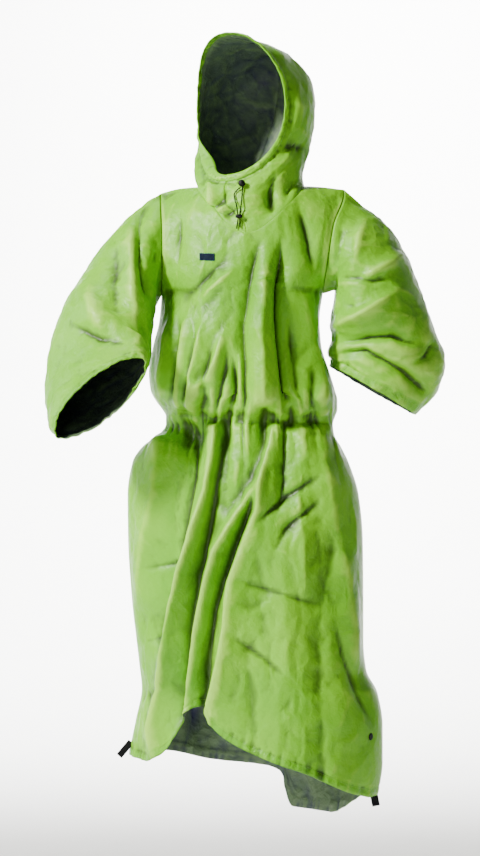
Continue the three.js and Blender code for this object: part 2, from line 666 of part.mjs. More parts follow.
// Loops where the hood and the sleeves start
const frontNeck = edgeRun(0, SHOULDER_COLUMNS, SHOULDER_COLUMNS + FRONT_NECK_COLUMNS, true);
const backNeck = edgeRun(0, SHOULDER_COLUMNS + BACK_NECK_COLUMNS, SHOULDER_COLUMNS, true);
const neckLoop = [
  ...frontNeck.map(([i, j]) => front[i][j]),
  ...backNeck.slice(1, -1).map(([i, j]) => back[i][j]),
];
const throatIndex = FRONT_NECK_COLUMNS / 2;
const halfColumns = neckLoop.length / 2;
const crownIndex = throatIndex + halfColumns;
const neckAngles = neckLoop.map((point, i) => {
  const { yaw, half, throat } = hoodSections[0];
  const turn = THREE.MathUtils.degToRad(yaw);
  const x = point.x - HOOD_CENTRE_X;
  const aside = x * Math.cos(turn) - point.y * Math.sin(turn);
  const ahead = -x * Math.sin(turn) - point.y * Math.cos(turn);
  const angle = Math.atan2(aside / half, ahead / throat);
  return i > throatIndex && angle < 0 ? angle + Math.PI * 2 : angle;
});

// Angles round the hood: at the neckline those of its points, further up evenly spaced
const throatSide = THREE.MathUtils.degToRad(HOOD_FRONT_HALF);
function hoodAngle(at, i) {
  const frontShare = i / FRONT_NECK_COLUMNS;
  const backShare = (i - FRONT_NECK_COLUMNS) / BACK_NECK_COLUMNS;
  const even = i <= FRONT_NECK_COLUMNS
    ? mix(-throatSide, throatSide, frontShare)
    : mix(throatSide, Math.PI * 2 - throatSide, backShare);
  return mix(neckAngles[i], even, smooth(clamp(at / EVEN_FROM, 0, 1)));
}

function armholeLoop(frontEdge, backEdge) {
  const loop = [];
  for (let i = 0; i <= yoke; i += 1) {
    loop.push(front[i][frontEdge]);
  }
  for (let i = yoke - 1; i > 0; i -= 1) {
    loop.push(back[i][backEdge]);
  }
  return loop;
}

const armAngles = Array.from({ length: 2 * yoke }, (_, n) => (n / (2 * yoke)) * Math.PI * 2);
const sleevePlaces = Array.from({ length: SLEEVE_RINGS + 1 }, (_, n) => n / SLEEVE_RINGS);
const hoodPlaces = Array.from({ length: HOOD_RINGS + 1 }, (_, n) => (n / HOOD_RINGS) * HOOD_END);
const channelPlaces = [CHANNEL_START, mix(CHANNEL_START, 1, 0.5), 1];

function tubeHeights(plain, name, flip) {
  const keep = (i) => smooth(clamp(i / fadeRows, 0, 1));
  return foldHeights(plain, gridNormals(plain, true, flip), name, keep);
}

const rightTube = tubeGrid(armholeLoop(0, 0), sleevePlaces,
  (at, angle) => sleevePoint(rightSleeve, at, angle), (at, i) => armAngles[i], 0.5);
const leftTube = tubeGrid(armholeLoop(frontColumns - 1, backColumns - 1), sleevePlaces,
  (at, angle) => sleevePoint(leftSleeve, at, angle), (at, i) => armAngles[i], 0.5);
const hoodTube = tubeGrid(neckLoop, hoodPlaces, hoodPoint, hoodAngle, 0.6);
const channelTube = channelPlaces.map((at) => neckLoop.map((point, i) => hoodPoint(at, hoodAngle(at, i))));
const rightHeights = tubeHeights(rightTube, 'sleeveRight', true);
const leftHeights = tubeHeights(leftTube, 'sleeveLeft', false);
const hoodHeights = tubeHeights(hoodTube, 'hood', false);
const sleeveRight = raised(rightTube, gridNormals(rightTube, true, true), rightHeights);
const sleeveLeft = raised(leftTube, gridNormals(leftTube, true, false), leftHeights);
const hood = raised(hoodTube, gridNormals(hoodTube, true, false), hoodHeights);

// Right and left halves of the hood, split at the throat and the crown
function hoodHalf(grid, start) {
  const spans = Array.from({ length: halfColumns + 1 }, (_, n) => start + n);
  return grid.map((row) => spans.map((column) => row[column % row.length]));
}

const hoodNormals = gridNormals(hood, true, false);
const pieces = {
  front_panel: {
    grid: front,
    normals: gridNormals(front, false, true),
    heights: frontHeights,
    flip: false,
    closed: false,
    thickness: (i) => (i >= bodyRows - 2 ? HEM_CLOTH : CLOTH),
    runs: [
      { cells: edgeRun(0, 0, SHOULDER_COLUMNS, true), inner: (i, j) => [i + 1, j] },
      { cells: frontNeck, inner: (i, j) => [i + 1, j] },
      {
        cells: edgeRun(0, frontColumns - 1 - SHOULDER_COLUMNS, frontColumns - 1, true),
        inner: (i, j) => [i + 1, j],
      },
      { cells: edgeRun(0, 0, yoke, false), inner: (i, j) => [i, j + 1] },
      { cells: edgeRun(0, yoke, bodyRows - 1, false), inner: (i, j) => [i, j + 1] },
      { cells: edgeRun(frontColumns - 1, 0, yoke, false), inner: (i, j) => [i, j - 1] },
      { cells: edgeRun(frontColumns - 1, yoke, bodyRows - 1, false), inner: (i, j) => [i, j - 1] },
    ],
  },
  back_panel: {
    grid: back,
    normals: gridNormals(back, false, false),
    heights: backHeights,
    flip: true,
    closed: false,
    thickness: (i) => (i >= bodyRows - 2 ? HEM_CLOTH : CLOTH),
    runs: [
      { cells: edgeRun(0, 0, SHOULDER_COLUMNS, true), inner: (i, j) => [i + 1, j] },
      {
        cells: edgeRun(0, SHOULDER_COLUMNS, SHOULDER_COLUMNS + BACK_NECK_COLUMNS, true),
        inner: (i, j) => [i + 1, j],
      },
      {
        cells: edgeRun(0, backColumns - 1 - SHOULDER_COLUMNS, backColumns - 1, true),
        inner: (i, j) => [i + 1, j],
      },
      { cells: edgeRun(0, 0, yoke, false), inner: (i, j) => [i, j + 1] },
      { cells: edgeRun(0, yoke, bodyRows - 1, false), inner: (i, j) => [i, j + 1] },
      { cells: edgeRun(backColumns - 1, 0, yoke, false), inner: (i, j) => [i, j - 1] },
      { cells: edgeRun(backColumns - 1, yoke, bodyRows - 1, false), inner: (i, j) => [i, j - 1] },
    ],
  },
  sleeve_right: {
    grid: sleeveRight,
    normals: gridNormals(sleeveRight, true, true),
    heights: rightHeights,
    flip: false,
    closed: true,
    thickness: (i) => (i >= SLEEVE_RINGS - 1 ? HEM_CLOTH : CLOTH),
    runs: [{ cells: edgeRun(0, 0, armAngles.length - 1, true), inner: (i, j) => [i + 1, j], loop: true }],
  },
  sleeve_left: {
    grid: sleeveLeft,
    normals: gridNormals(sleeveLeft, true, false),
    heights: leftHeights,
    flip: true,
    closed: true,
    thickness: (i) => (i >= SLEEVE_RINGS - 1 ? HEM_CLOTH : CLOTH),
    runs: [{ cells: edgeRun(0, 0, armAngles.length - 1, true), inner: (i, j) => [i + 1, j], loop: true }],
  },
  hood_left: {
    grid: hoodHalf(hood, throatIndex),
    normals: hoodHalf(hoodNormals, throatIndex),
    heights: hoodHalf(hoodHeights, throatIndex),
    flip: true,
    closed: false,
    thickness: () => CLOTH,
    runs: [
      { cells: edgeRun(0, 0, halfColumns, true), inner: (i, j) => [i + 1, j] },
      { cells: edgeRun(0, 0, HOOD_RINGS, false), inner: (i, j) => [i, j + 1] },
      { cells: edgeRun(halfColumns, 0, HOOD_RINGS, false), inner: (i, j) => [i, j - 1] },
    ],
  },
  hood_right: {
    grid: hoodHalf(hood, crownIndex),
    normals: hoodHalf(hoodNormals, crownIndex),
    heights: hoodHalf(hoodHeights, crownIndex),
    flip: true,
    closed: false,
    thickness: () => CLOTH,
    runs: [
      { cells: edgeRun(0, 0, halfColumns, true), inner: (i, j) => [i + 1, j] },
      { cells: edgeRun(0, 0, HOOD_RINGS, false), inner: (i, j) => [i, j + 1] },
      { cells: edgeRun(halfColumns, 0, HOOD_RINGS, false), inner: (i, j) => [i, j - 1] },
    ],
  },
  face_channel: {
    grid: channelTube,
    normals: gridNormals(channelTube, true, false),
    heights: channelTube.map((row) => row.map(() => 0)),
    flip: true,
    closed: true,
    thickness: (i) => (i === 1 ? CHANNEL_CLOTH : CLOTH),
    runs: [],
  },
};

const seams = new Seams();
for (const piece of Object.values(pieces)) {
  for (const run of piece.runs) {
    for (const [i, j] of run.cells) {
      seams.note(piece.grid[i][j], piece.normals[i][j]);
    }
  }
}

const poncho = new THREE.Group();
const turned = new THREE.Group();
turned.rotation.z = TURN;
poncho.add(turned);

const meshes = {};
for (const [name, piece] of Object.entries(pieces)) {
  const mesh = new THREE.Mesh(wallGeometry(piece, seams), COLOURS.cloth);
  mesh.name = name;
  meshes[name] = mesh;
  turned.add(mesh);
}

// Small pieces, each on the cloth that carries it
const caster = new THREE.Raycaster();
const fromFront = new THREE.Vector3(0, 1, 0);
function onCloth(name, x, z) {
  caster.set(new THREE.Vector3(x, -2000, z), fromFront);
  const hit = caster.intersectObject(meshes[name])[0];
  return { point: hit.point, normal: hit.face.normal.clone() };
}

function addPiece(name, geometry, colour) {
  const mesh = new THREE.Mesh(geometry, colour);
  mesh.name = name;
  turned.add(mesh);
  return mesh;
}

// A sewn patch whose points are the chest's own, moved out
function labelGeometry() {
  const { x, z, width, height, tilt, thick, columns, rows } = label;
  const out = onCloth('front_panel', x, z).normal;
  const grid = [];
  for (let i = 0; i <= rows; i += 1) {
    const line = [];
    for (let j = 0; j <= columns; j += 1) {
      const across = (j / columns - 0.5) * width;
      const down = (i / rows - 0.5) * height;
      const place = onCloth('front_panel', x + across, z - down + across * tilt).point;
      line.push(place.addScaledVector(out, SEAM_GAP + LABEL_CLEAR + thick / 2));
    }
    grid.push(line);
  }
  return wallGeometry({
    grid,
    normals: grid.map((line) => line.map(() => out)),
    heights: grid.map((line) => line.map(() => 0)),
    runs: [],
    closed: false,
    flip: false,
    thickness: () => thick,
  }, seams);
}

// A turned piece from [radius, height] points, its axis along the given direction
function turnedGeometry(profile, sides, axis, place) {
  const geometry = new THREE.LatheGeometry(profile.map(([r, h]) => new THREE.Vector2(r, h)), sides);
  const up = new THREE.Vector3(0, 1, 0);
  geometry.applyQuaternion(new THREE.Quaternion().setFromUnitVectors(up, axis));
  geometry.translate(place.x, place.y, place.z);
  return geometry;
}

function ballProfile(radius, steps) {
  return Array.from({ length: steps + 1 }, (_, i) => {
    const angle = (i / steps - 0.5) * Math.PI;
    return [i % steps === 0 ? 0 : radius * Math.cos(angle), radius * Math.sin(angle)];
  });
}

function cordGeometry(route) {
  const section = new THREE.Shape();
  for (let i = 0; i < CORD_SIDES; i += 1) {
    const angle = (i / CORD_SIDES) * Math.PI * 2;
    const x = (CORD / 2) * Math.cos(angle);
    const y = (CORD / 2) * Math.sin(angle);
    if (i === 0) {
      section.moveTo(x, y);
    } else {
      section.lineTo(x, y);
    }
  }
  const path = new THREE.CatmullRomCurve3(route.map(toVector));
  const steps = Math.ceil(path.getLength() / CORD_STEP);
  return new THREE.ExtrudeGeometry(section, { steps, extrudePath: path, bevelEnabled: false });
}

function tabGeometry({ x, y, z, width, length, thick, lean }) {
  const geometry = new THREE.BoxGeometry(width, thick, length);
  geometry.rotateY(THREE.MathUtils.degToRad(lean));
  geometry.translate(x, y, z);
  return geometry;
}

addPiece('label', labelGeometry(), COLOURS.label);
const snapSeat = onCloth('front_panel', snap.x, snap.z);
snapSeat.point.addScaledVector(snapSeat.normal, SEAM_GAP + snap.clear);
addPiece('snap_left', turnedGeometry(snap.profile, 24, snapSeat.normal, snapSeat.point), COLOURS.black);
addPiece('stopper', turnedGeometry(ballProfile(STOPPER_RADIUS, 8), 14, new THREE.Vector3(0, 0, 1),
  toVector(stopperPlace)), COLOURS.black);
addPiece('cord_toggle', turnedGeometry(toggleProfile, 12, new THREE.Vector3(1, 0, 0),
  toVector(togglePlace)), COLOURS.black);
for (const [name, route] of Object.entries(cordRoutes)) {
  addPiece(name, cordGeometry(route), COLOURS.black);
}
addPiece('tab_right', tabGeometry(tabRight), COLOURS.black);
addPiece('tab_left', tabGeometry(tabLeft), COLOURS.black);

export default poncho;
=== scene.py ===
# A hooded rain poncho of coated nylon, in the hollow shape that it has when it is worn.
# Tables are in millimetres, in a frame turned about Z by TURN from the part's own: x runs
# across the garment, y runs to its back and z runs up. Finished meshes are in metres.
import math

import bmesh
import bpy
import numpy as np
from mathutils import Matrix, Vector, noise


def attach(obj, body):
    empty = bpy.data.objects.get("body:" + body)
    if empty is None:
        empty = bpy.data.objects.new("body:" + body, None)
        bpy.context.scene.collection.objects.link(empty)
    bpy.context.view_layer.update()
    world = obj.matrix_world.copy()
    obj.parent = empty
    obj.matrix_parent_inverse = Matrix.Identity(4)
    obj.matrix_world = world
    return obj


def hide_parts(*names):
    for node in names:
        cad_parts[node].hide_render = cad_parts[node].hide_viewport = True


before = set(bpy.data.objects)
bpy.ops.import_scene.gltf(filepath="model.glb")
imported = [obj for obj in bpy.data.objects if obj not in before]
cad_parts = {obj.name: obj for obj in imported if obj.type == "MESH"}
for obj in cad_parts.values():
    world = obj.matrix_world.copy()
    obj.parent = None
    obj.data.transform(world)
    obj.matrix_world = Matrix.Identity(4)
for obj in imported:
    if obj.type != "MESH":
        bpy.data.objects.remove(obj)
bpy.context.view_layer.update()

MM = 0.001
TURN = math.radians(12)
ARMPIT_Z = -178
BLOUSE_END_Z = -430
HEM_LEVEL = -1000
NECK_SHARE = 0.57
SHOULDER_ROUND = 62
FOLD_FADE = 78
WAIST_FADE = 30
WAIST_REACH = 50
RIDGE_SHARPNESS = 1.2
TROUGH_SHARPNESS = 1.0
FOLD_RISE = 1.3
HOOD_CENTRE_X = 8
HOOD_FULLNESS = 0.93
HOOD_FRONT_HALF = 104
HOOD_END = 0.955
CHANNEL_START = 0.963
EVEN_FROM = 0.5
COLUMN_DRIFT = 0.26
WAIST_GATHERS = 9
WAIST_Z = -412
FRONT_NECK_DROP = 90
BACK_NECK_DROP = 26

# How finely the cloth is laid out
SHOULDER_COLUMNS = 28
FRONT_NECK_COLUMNS = 84
BACK_NECK_COLUMNS = 50
YOKE_STEPS = 46
BLOUSE_STEPS = 58
SKIRT_STEPS = 128
SLEEVE_STEPS = 96
HOOD_STEPS = 84
CHANNEL_STEPS = 9
HEM_ROWS = 3

# The face opening's edge is turned out in a small lapel at its lower right
LAPEL_Z = 62
LAPEL_REACH = 46
LAPEL_TURN = (20, -10, -4)

# Cloth and sewing
CLOTH = 0.6
HEM_CLOTH = 1.7
HEM_WIDTH = 15
STITCH_FROM_EDGE = 12.5
STITCH = 2.3
STITCH_SPACING = 3.4
THREAD = 0.5

# Reaches in steps of the grid, and how much each adds to the measure of a hollow, which paints shade and highlight
HOLLOW_REACHES = ((1, 0.8), (3, 1.1), (7, 0.9))


def table(columns, rows):
    """Columns of a table by name, each an array in rising order of the first column."""
    rows = sorted(rows, key=lambda row: row[0])
    names = columns.split()
    return {name: np.array([row[i] for row in rows], float) for i, name in enumerate(names)}


YOKE_ROWS = [0, 0.02, 0.08, 0.17, 0.28, 0.4, 0.52, 0.64, 0.76, 0.88, 1]
BLOUSE_ROWS = [
    ARMPIT_Z, -212, -248, -282, -312, -338, -358, -372, -383, -392, -403, -416, BLOUSE_END_Z,
]

# The body's sections, and how far the armhole's edges stand from the shoulder line
BODY = table("z right left front back round", [
    (30, -158, 172, 92, 82, 1),
    (0, -158, 172, 96, 90, 1),
    (-60, -155, 152, 106, 108, 0.95),
    (-120, -154, 142, 118, 122, 0.8),
    (-178, -156, 134, 130, 128, 0.62),
    (-225, -160, 128, 138, 128, 0.52),
    (-270, -171, 131, 145, 126, 0.5),
    (-320, -179, 146, 152, 124, 0.5),
    (-350, -176, 155, 154, 123, 0.5),
    (-370, -166, 160, 148, 121, 0.5),
    (-386, -154, 160, 132, 117, 0.5),
    (-398, -148, 156, 112, 112, 0.5),
    (-412, -148, 152, 106, 109, 0.5),
    (-430, -160, 154, 110, 111, 0.5),
    (-452, -190, 166, 119, 117, 0.5),
    (-481, -209, 180, 127, 124, 0.5),
    (-540, -218, 198, 136, 136, 0.5),
    (-620, -217, 205, 145, 147, 0.5),
    (-729, -210, 206, 154, 155, 0.5),
    (-800, -202, 206, 159, 159, 0.5),
    (-850, -196, 211, 163, 162, 0.56),
    (-891, -192, 231, 166, 164, 0.62),
    (-949, -203, 240, 170, 167, 0.68),
    (-1012, -214, 240, 174, 170, 0.72),
    (-1130, -218, 214, 178, 172, 0.74),
])
ARMHOLE = table("z spread", [
    (30, 0),
    (8, 0),
    (-20, 34),
    (-60, 58),
    (-100, 66),
    (-140, 54),
    (-165, 26),
    (ARMPIT_Z, 0),
    (-1200, 0),
])

# The shoulder line and the hems, as heights over x
SHOULDER = table("x z", [
    (-170, 2),
    (-120, 14),
    (-80, 16),
    (100, 14),
    (130, 12),
    (175, 6),
])
FRONT_HEM = table("x z", [
    (-210, -1012),
    (-180, -1014),
    (-155, -1002),
    (-138, -978),
    (-122, -925),
    (-106, -909),
    (-84, -910),
    (-72, -936),
    (-32, -968),
    (40, -999),
    (103, -1021),
    (184, -1058),
    (222, -1071),
])
BACK_HEM = table("x z", [
    (-210, -1012),
    (-165, -1013),
    (-60, -1036),
    (40, -1046),
    (66, -1056),
    (82, -1092),
    (102, -1119),
    (172, -1121),
    (195, -1106),
    (222, -1071),
])

# The hood, from the neckline (at 0) to the face opening (at 1)
HOOD = table("at throat throat_z crown crown_z half setback lift yaw", [
    (0, 100, -74, -88, 8, 95, 6, 47, 13),
    (0.12, 101, -61, -96, 50, 90, 9, 42, 13),
    (0.25, 102, -47, -108, 102, 92, 15, 29, 17),
    (0.4, 103, -33, -117, 160, 98, 17, 13, 22),
    (0.55, 101, -20, -108, 220, 106, 16, 3, 28),
    (0.7, 97, -8, -76, 255, 109, 20, 0, 31),
    (0.82, 92, 3, -20, 270, 106, 34, 0, 32),
    (0.91, 87, 11, 38, 277, 101, 46, 0, 33),
    (0.955, 84, 17, 70, 279, 96, 51, 0, 33),
    (1, 81, 31, 86, 282, 93, 45, 0, 33),
])

# The sleeves: the ring's centre, its half to the outer side and its half to the front
RIGHT_SLEEVE = table("at centre outer front", [
    (0, (-156, 33, -86), (0, 0, 92), (0, -60, 0)),
    (0.2, (-191, 17, -119), (-24, 2, 83), (10, -80, 0)),
    (0.4, (-226, -5, -184), (-50, 8, 66), (26, -94, -8)),
    (0.6, (-258, -40, -260), (-74, 12, 50), (42, -86, 30)),
    (0.78, (-268, -88, -318), (-84, 22, 4), (40, -52, 70)),
    (0.9, (-264, -138, -350), (-80, 10, -20), (38, -26, 72)),
    (1, (-258, -180, -368), (-70, 0, -30), (36, -10, 64)),
])
LEFT_SLEEVE = table("at centre outer front", [
    (0, (150, -32, -86), (18, 0, 92), (0, -60, 0)),
    (0.18, (202, -34, -118), (46, 0, 59), (-6, -82, 0)),
    (0.36, (218, -34, -178), (70, 0, 54), (-4, -96, 0)),
    (0.54, (232, -32, -226), (82, 0, 36), (0, -102, 0)),
    (0.7, (242, -30, -270), (98, 0, 14), (0, -102, 0)),
    (0.82, (250, -29, -300), (102, 0, -4), (0, -98, 0)),
    (0.92, (244, -28, -326), (94, 0, -26), (0, -90, 0)),
    (1, (223, -28, -351), (75, 0, -43), (0, -80, 0)),
])

# Folds: the piece, the line that the fold follows as (x, z) points, its reach to each side of
# the line and its height (a trough is negative)
FRONT_FOLDS = [
    ("body", ((25, -70), (8, -133), (0, -174), (-9, -245), (-7, -317), (-6, -400)), 18, 8, -12),
    ("body", ((59, -70), (54, -151), (53, -208), (57, -259), (66, -360), (68, -405)), 7, 16, -24),
    ("body", ((38, -100), (30, -158), (24, -250), (28, -330), (32, -395)), 20, 20, 11),
    ("body", ((-126, -190), (-144, -260), (-155, -331), (-150, -385)), 9, 14, 9),
    ("body", ((-112, -205), (-128, -290), (-136, -375)), 8, 10, -8),
    ("body", ((-101, -190), (-112, -260), (-121, -340), (-118, -395)), 9, 13, 11),
    ("body", ((-86, -225), (-101, -300), (-108, -375)), 7, 10, -9),
    ("body", ((-72, -205), (-89, -283), (-98, -331), (-94, -395)), 9, 14, 12),
    ("body", ((-58, -255), (-76, -330), (-80, -395)), 7, 9, -10),
    ("body", ((-36, -230), (-58, -309), (-82, -345), (-88, -385)), 10, 12, 10),
    ("body", ((-33, -255), (-45, -315), (-52, -346), (-56, -400)), 6, 8, -12),
    ("body", ((-29, -270), (-27, -345), (-29, -405)), 8, 8, -20),
    ("body", ((-16, -270), (-17, -340), (-15, -400)), 7, 7, 8),
    ("body", ((-10, -122), (-45, -158), (-75, -186), (-108, -206)), 9, 11, 7),
    ("body", ((-30, -112), (-64, -142), (-92, -170), (-120, -200)), 7, 9, -6),
    ("body", ((94, -160), (112, -262), (128, -330), (132, -390)), 14, 20, 10),
    ("body", ((78, -200), (88, -300), (98, -395)), 9, 16, -10),
    ("body", ((112, -280), (118, -350), (118, -405)), 9, 9, -8),
    ("body", ((-122, 0), (-126, -60), (-128, -120), (-134, -160)), 12, 12, -10),
    ("body", ((84, 5), (100, -60), (116, -130), (122, -175)), 12, 14, -10),
    ("body", ((-50, -400), (-56, -470), (-68, -532), (-87, -590), (-112, -675), (-124, -739),
              (-137, -813), (-142, -862), (-157, -944), (-166, -1030)), 15, 13, 24),
    ("body", ((-38, -400), (-58, -532), (-72, -606), (-87, -675), (-102, -764),
              (-114, -862), (-119, -980)), 9, 9, -17),
    ("body", ((40, -480), (-13, -566), (-58, -635), (-77, -704), (-92, -788), (-107, -907),
              (-112, -1000)), 11, 13, 15),
    ("body", ((16, -510), (1, -566), (-38, -665), (-63, -739), (-73, -813), (-83, -902),
              (-90, -1020)), 12, 10, -19),
    ("body", ((50, -400), (26, -500), (16, -566), (-13, -630), (-33, -689), (-38, -763),
              (-44, -813), (-60, -880), (-76, -980)), 8, 32, 18),
    ("body", ((-60, -762), (26, -817), (90, -872)), 8, 12, -5),
    ("body", ((63, -395), (61, -512), (50, -580)), 6, 9, -11),
    ("body", ((78, -400), (82, -500), (94, -600), (102, -740)), 16, 22, 9),
    ("body", ((140, -495), (61, -542), (31, -572), (4, -612)), 6, 12, -9),
    ("body", ((144, -530), (66, -596), (36, -652)), 6, 12, -7),
    ("body", ((-149, -410), (-166, -542), (-189, -645), (-200, -780)), 22, 24, 13),
    ("body", ((-92, -400), (-98, -500), (-114, -590), (-138, -690), (-162, -830)), 44, 9, -19),
    ("body", ((-16, -395), (-12, -470), (-26, -560)), 16, 16, 9),
    ("body", ((164, -560), (132, -713), (122, -800), (128, -900), (136, -1100)), 26, 26, -7),
    ("body", ((150, -740), (168, -819), (190, -873), (232, -960)), 8, 18, -9),
    ("body", ((110, -400), (146, -560), (174, -700), (190, -880)), 22, 24, 11),
    ("body", ((56, -540), (60, -640), (66, -760), (74, -900)), 34, 40, 7),
    ("body", ((-6, -780), (6, -880), (16, -1080)), 24, 24, -5),
    ("body", ((-214, -678), (-191, -672), (-112, -650), (-90, -644)), 4, 5, -3),
    ("body", ((-214, -808), (-193, -803), (-139, -786), (-110, -780)), 4, 5, -3),
    ("body", ((-40, -680), (-9, -689), (110, -724), (150, -736)), 4, 6, -3.5),
    ("body", ((-8, -150), (14, -156), (50, -160), (84, -156)), 5, 6, -3),
    ("body", ((-120, -850), (-160, -890), (-206, -915)), 14, 14, -6),
    ("hood", ((-65, 50), (-66, 10), (-66, -70)), 9, 11, 7),
    ("hood", ((-30, 12), (-42, -6), (-54, -24), (-72, -46)), 8, 10, -7),
    ("hood", ((-36, -20), (-48, -34), (-62, -52)), 7, 9, 6),
    ("hood", ((0, -24), (-30, -38), (-60, -62)), 8, 8, -6),
    ("hood", ((50, 50), (46, 8), (43, -30), (40, -76)), 12, 5, -14),
    ("hood", ((92, 34), (76, 0), (62, -36)), 6, 9, -12),
    ("hood", ((96, 30), (84, -6), (76, -46)), 5, 7, 9),
    ("hood", ((100, 26), (94, -8), (88, -40)), 5, 7, -9),
    ("hood", ((46, 84), (88, 80), (126, 72)), 14, 16, -10),
    ("hood", ((62, 215), (80, 150), (78, 90)), 12, 16, 10),
    ("hood", ((48, 180), (66, 150), (74, 110)), 8, 10, -8),
    ("sleeveRight", ((-205, -25), (-202, -150), (-200, -260)), 16, 12, 13),
    ("sleeveRight", ((-182, 0), (-198, -54), (-194, -126), (-170, -190), (-155, -230)), 10, 14, -13),
    ("sleeveRight", ((-157, -54), (-153, -122), (-144, -170)), 7, 9, -10),
    ("sleeveRight", ((-236, -60), (-240, -150), (-228, -240)), 12, 18, -8),
    ("sleeveRight", ((-290, -140), (-262, -240), (-236, -280)), 20, 24, 10),
    ("sleeveRight", ((-325, -225), (-262, -262), (-190, -272)), 8, 14, -9),
    ("sleeveLeft", ((130, -250), (211, -211), (280, -168)), 16, 9, 14),
    ("sleeveLeft", ((130, -268), (256, -257), (330, -280)), 9, 12, -15),
    ("sleeveLeft", ((130, -290), (202, -288), (274, -324), (330, -365)), 8, 12, -15),
    ("sleeveLeft", ((160, -176), (229, -144), (290, -102)), 14, 12, 13),
    ("sleeveLeft", ((150, -150), (220, -160), (266, -134)), 12, 10, -10),
    ("sleeveLeft", ((168, 20), (150, -50), (142, -130)), 8, 10, 9),
    ("sleeveLeft", ((188, 10), (162, -62), (154, -150)), 8, 10, -10),
    ("sleeveLeft", ((214, -30), (196, -84), (184, -150)), 10, 12, 8),
    ("sleeveLeft", ((340, -250), (318, -292), (284, -312)), 9, 9, -10),
]
BACK_FOLDS = [
    ("body", ((-60, -300), (-56, -400), (-70, -560), (-90, -800), (-100, -1020)), 26, 26, 14),
    ("body", ((-20, -380), (-22, -560), (-36, -800), (-40, -1030)), 22, 22, -12),
    ("body", ((24, -340), (26, -480), (36, -700), (46, -1030)), 24, 24, 13),
    ("body", ((66, -360), (72, -520), (94, -760), (120, -1060)), 22, 22, -13),
    ("body", ((104, -330), (114, -520), (146, -760), (170, -1040)), 22, 22, 12),
    ("body", ((-104, -350), (-118, -520), (-146, -760), (-160, -1000)), 22, 22, -12),
    ("body", ((-40, -60), (-30, -180), (-20, -300)), 30, 30, -7),
    ("body", ((60, -50), (50, -160), (44, -280)), 26, 26, 6),
    ("sleeveRight", ((-190, -40), (-220, -150), (-236, -260)), 18, 18, -10),
    ("sleeveRight", ((-216, -60), (-270, -190), (-300, -290)), 16, 16, 8),
    ("sleeveLeft", ((190, -50), (230, -160), (262, -270)), 18, 18, -10),
    ("sleeveLeft", ((160, -110), (190, -220), (214, -310)), 16, 16, 9),
    ("hood", ((40, 230), (60, 160), (50, 80)), 16, 16, -5),
]

for number in range(WAIST_GATHERS):
    x = -140 + 280 / (WAIST_GATHERS - 1) * number
    gather = ("body", ((x * 0.96, -370), (x, -410), (x * 1.12, -480)), 12, 12, 4 - 8 * (number % 2))
    FRONT_FOLDS.append(gather)
    BACK_FOLDS.append(gather)


# measuring
def mix(a, b, share):
    return a + (b - a) * share


def smooth(share):
    share = np.clip(share, 0, 1)
    return share * share * (3 - 2 * share)


def look_up(rows, at, name):
    """A value from a table, smooth between its rows and never past them."""
    keys = next(iter(rows.values()))
    values = rows[name]
    at = np.clip(np.asarray(at, float), keys[0], keys[-1])
    rise = np.diff(values) / np.diff(keys)
    slope = np.empty(len(keys))
    slope[0], slope[-1] = rise[0], rise[-1]
    below, above = rise[:-1], rise[1:]
    product = below * above
    total = np.where(product > 0, below + above, 1)
    slope[1:-1] = np.where(product > 0, 2 * product / total, 0)
    i = np.clip(np.searchsorted(keys, at, side="left") - 1, 0, len(keys) - 2)
    span = keys[i + 1] - keys[i]
    s = (at - keys[i]) / span
    s2, s3 = s * s, s * s * s
    return ((2 * s3 - 3 * s2 + 1) * values[i] + (s3 - 2 * s2 + s) * span * slope[i]
            + (3 * s2 - 2 * s3) * values[i + 1] + (s3 - s2) * span * slope[i + 1])


def look_up_vector(rows, at, name):
    keys = rows["at"]
    axes = [look_up({"at": keys, "value": rows[name][:, axis]}, at, "value") for axis in range(3)]
    return np.stack(axes, -1)


def unit(vectors):
    return vectors / np.maximum(np.linalg.norm(vectors, axis=-1, keepdims=True), 1e-9)


def to_part(points):
    """From the tables' frame in millimetres to the part's in metres."""
    points = np.asarray(points, float)
    x, y, z = points[..., 0], points[..., 1], points[..., 2]
    turned = (x * math.cos(TURN) - y * math.sin(TURN), x * math.sin(TURN) + y * math.cos(TURN), z)
    return np.stack(turned, -1) * MM


def grain(points, size, seed):
    """Smooth noise from about -1 to 1, over points in millimetres."""
    scaled = points / np.asarray(size, float) + seed * 17.3
    flat = [noise.noise(Vector(p)) for p in scaled.reshape(-1, 3)]
    return np.array(flat).reshape(points.shape[:-1])


def ridges(points, size, seed):
    """Sharp ridge lines between rounded hollows, from about -1 to 1."""
    return 1 - 3.4 * np.abs(grain(points, size, seed))


# the body
def body_point(across, z, side):
    right = look_up(BODY, z, "right")
    left = look_up(BODY, z, "left")
    x = mix(right, left, (across + 1) / 2)
    depth = look_up(BODY, z, side)
    spread = look_up(ARMHOLE, z, "spread")
    bulge = np.maximum(1 - np.abs(across) ** 2.2, 0) ** look_up(BODY, z, "round")
    drop = np.clip((look_up(SHOULDER, x, "z") - z) / SHOULDER_ROUND, 0, 1)
    over = np.sqrt(1 - (1 - drop) ** 2)
    y = (spread + (depth - spread) * bulge) * over
    y = (-y if side == "front" else y) - x * math.tan(TURN)
    return np.stack(np.broadcast_arrays(x, y, z), -1)


def top_edge(across, side):
    right = look_up(BODY, 0, "right")
    left = look_up(BODY, 0, "left")
    shoulder = look_up(SHOULDER, mix(right, left, (across + 1) / 2), "z")
    inside = np.clip(1 - np.abs(across) / NECK_SHARE, 0, 1)
    drop = FRONT_NECK_DROP if side == "front" else BACK_NECK_DROP
    return shoulder - drop * np.sin(inside * math.pi / 2) ** 0.95


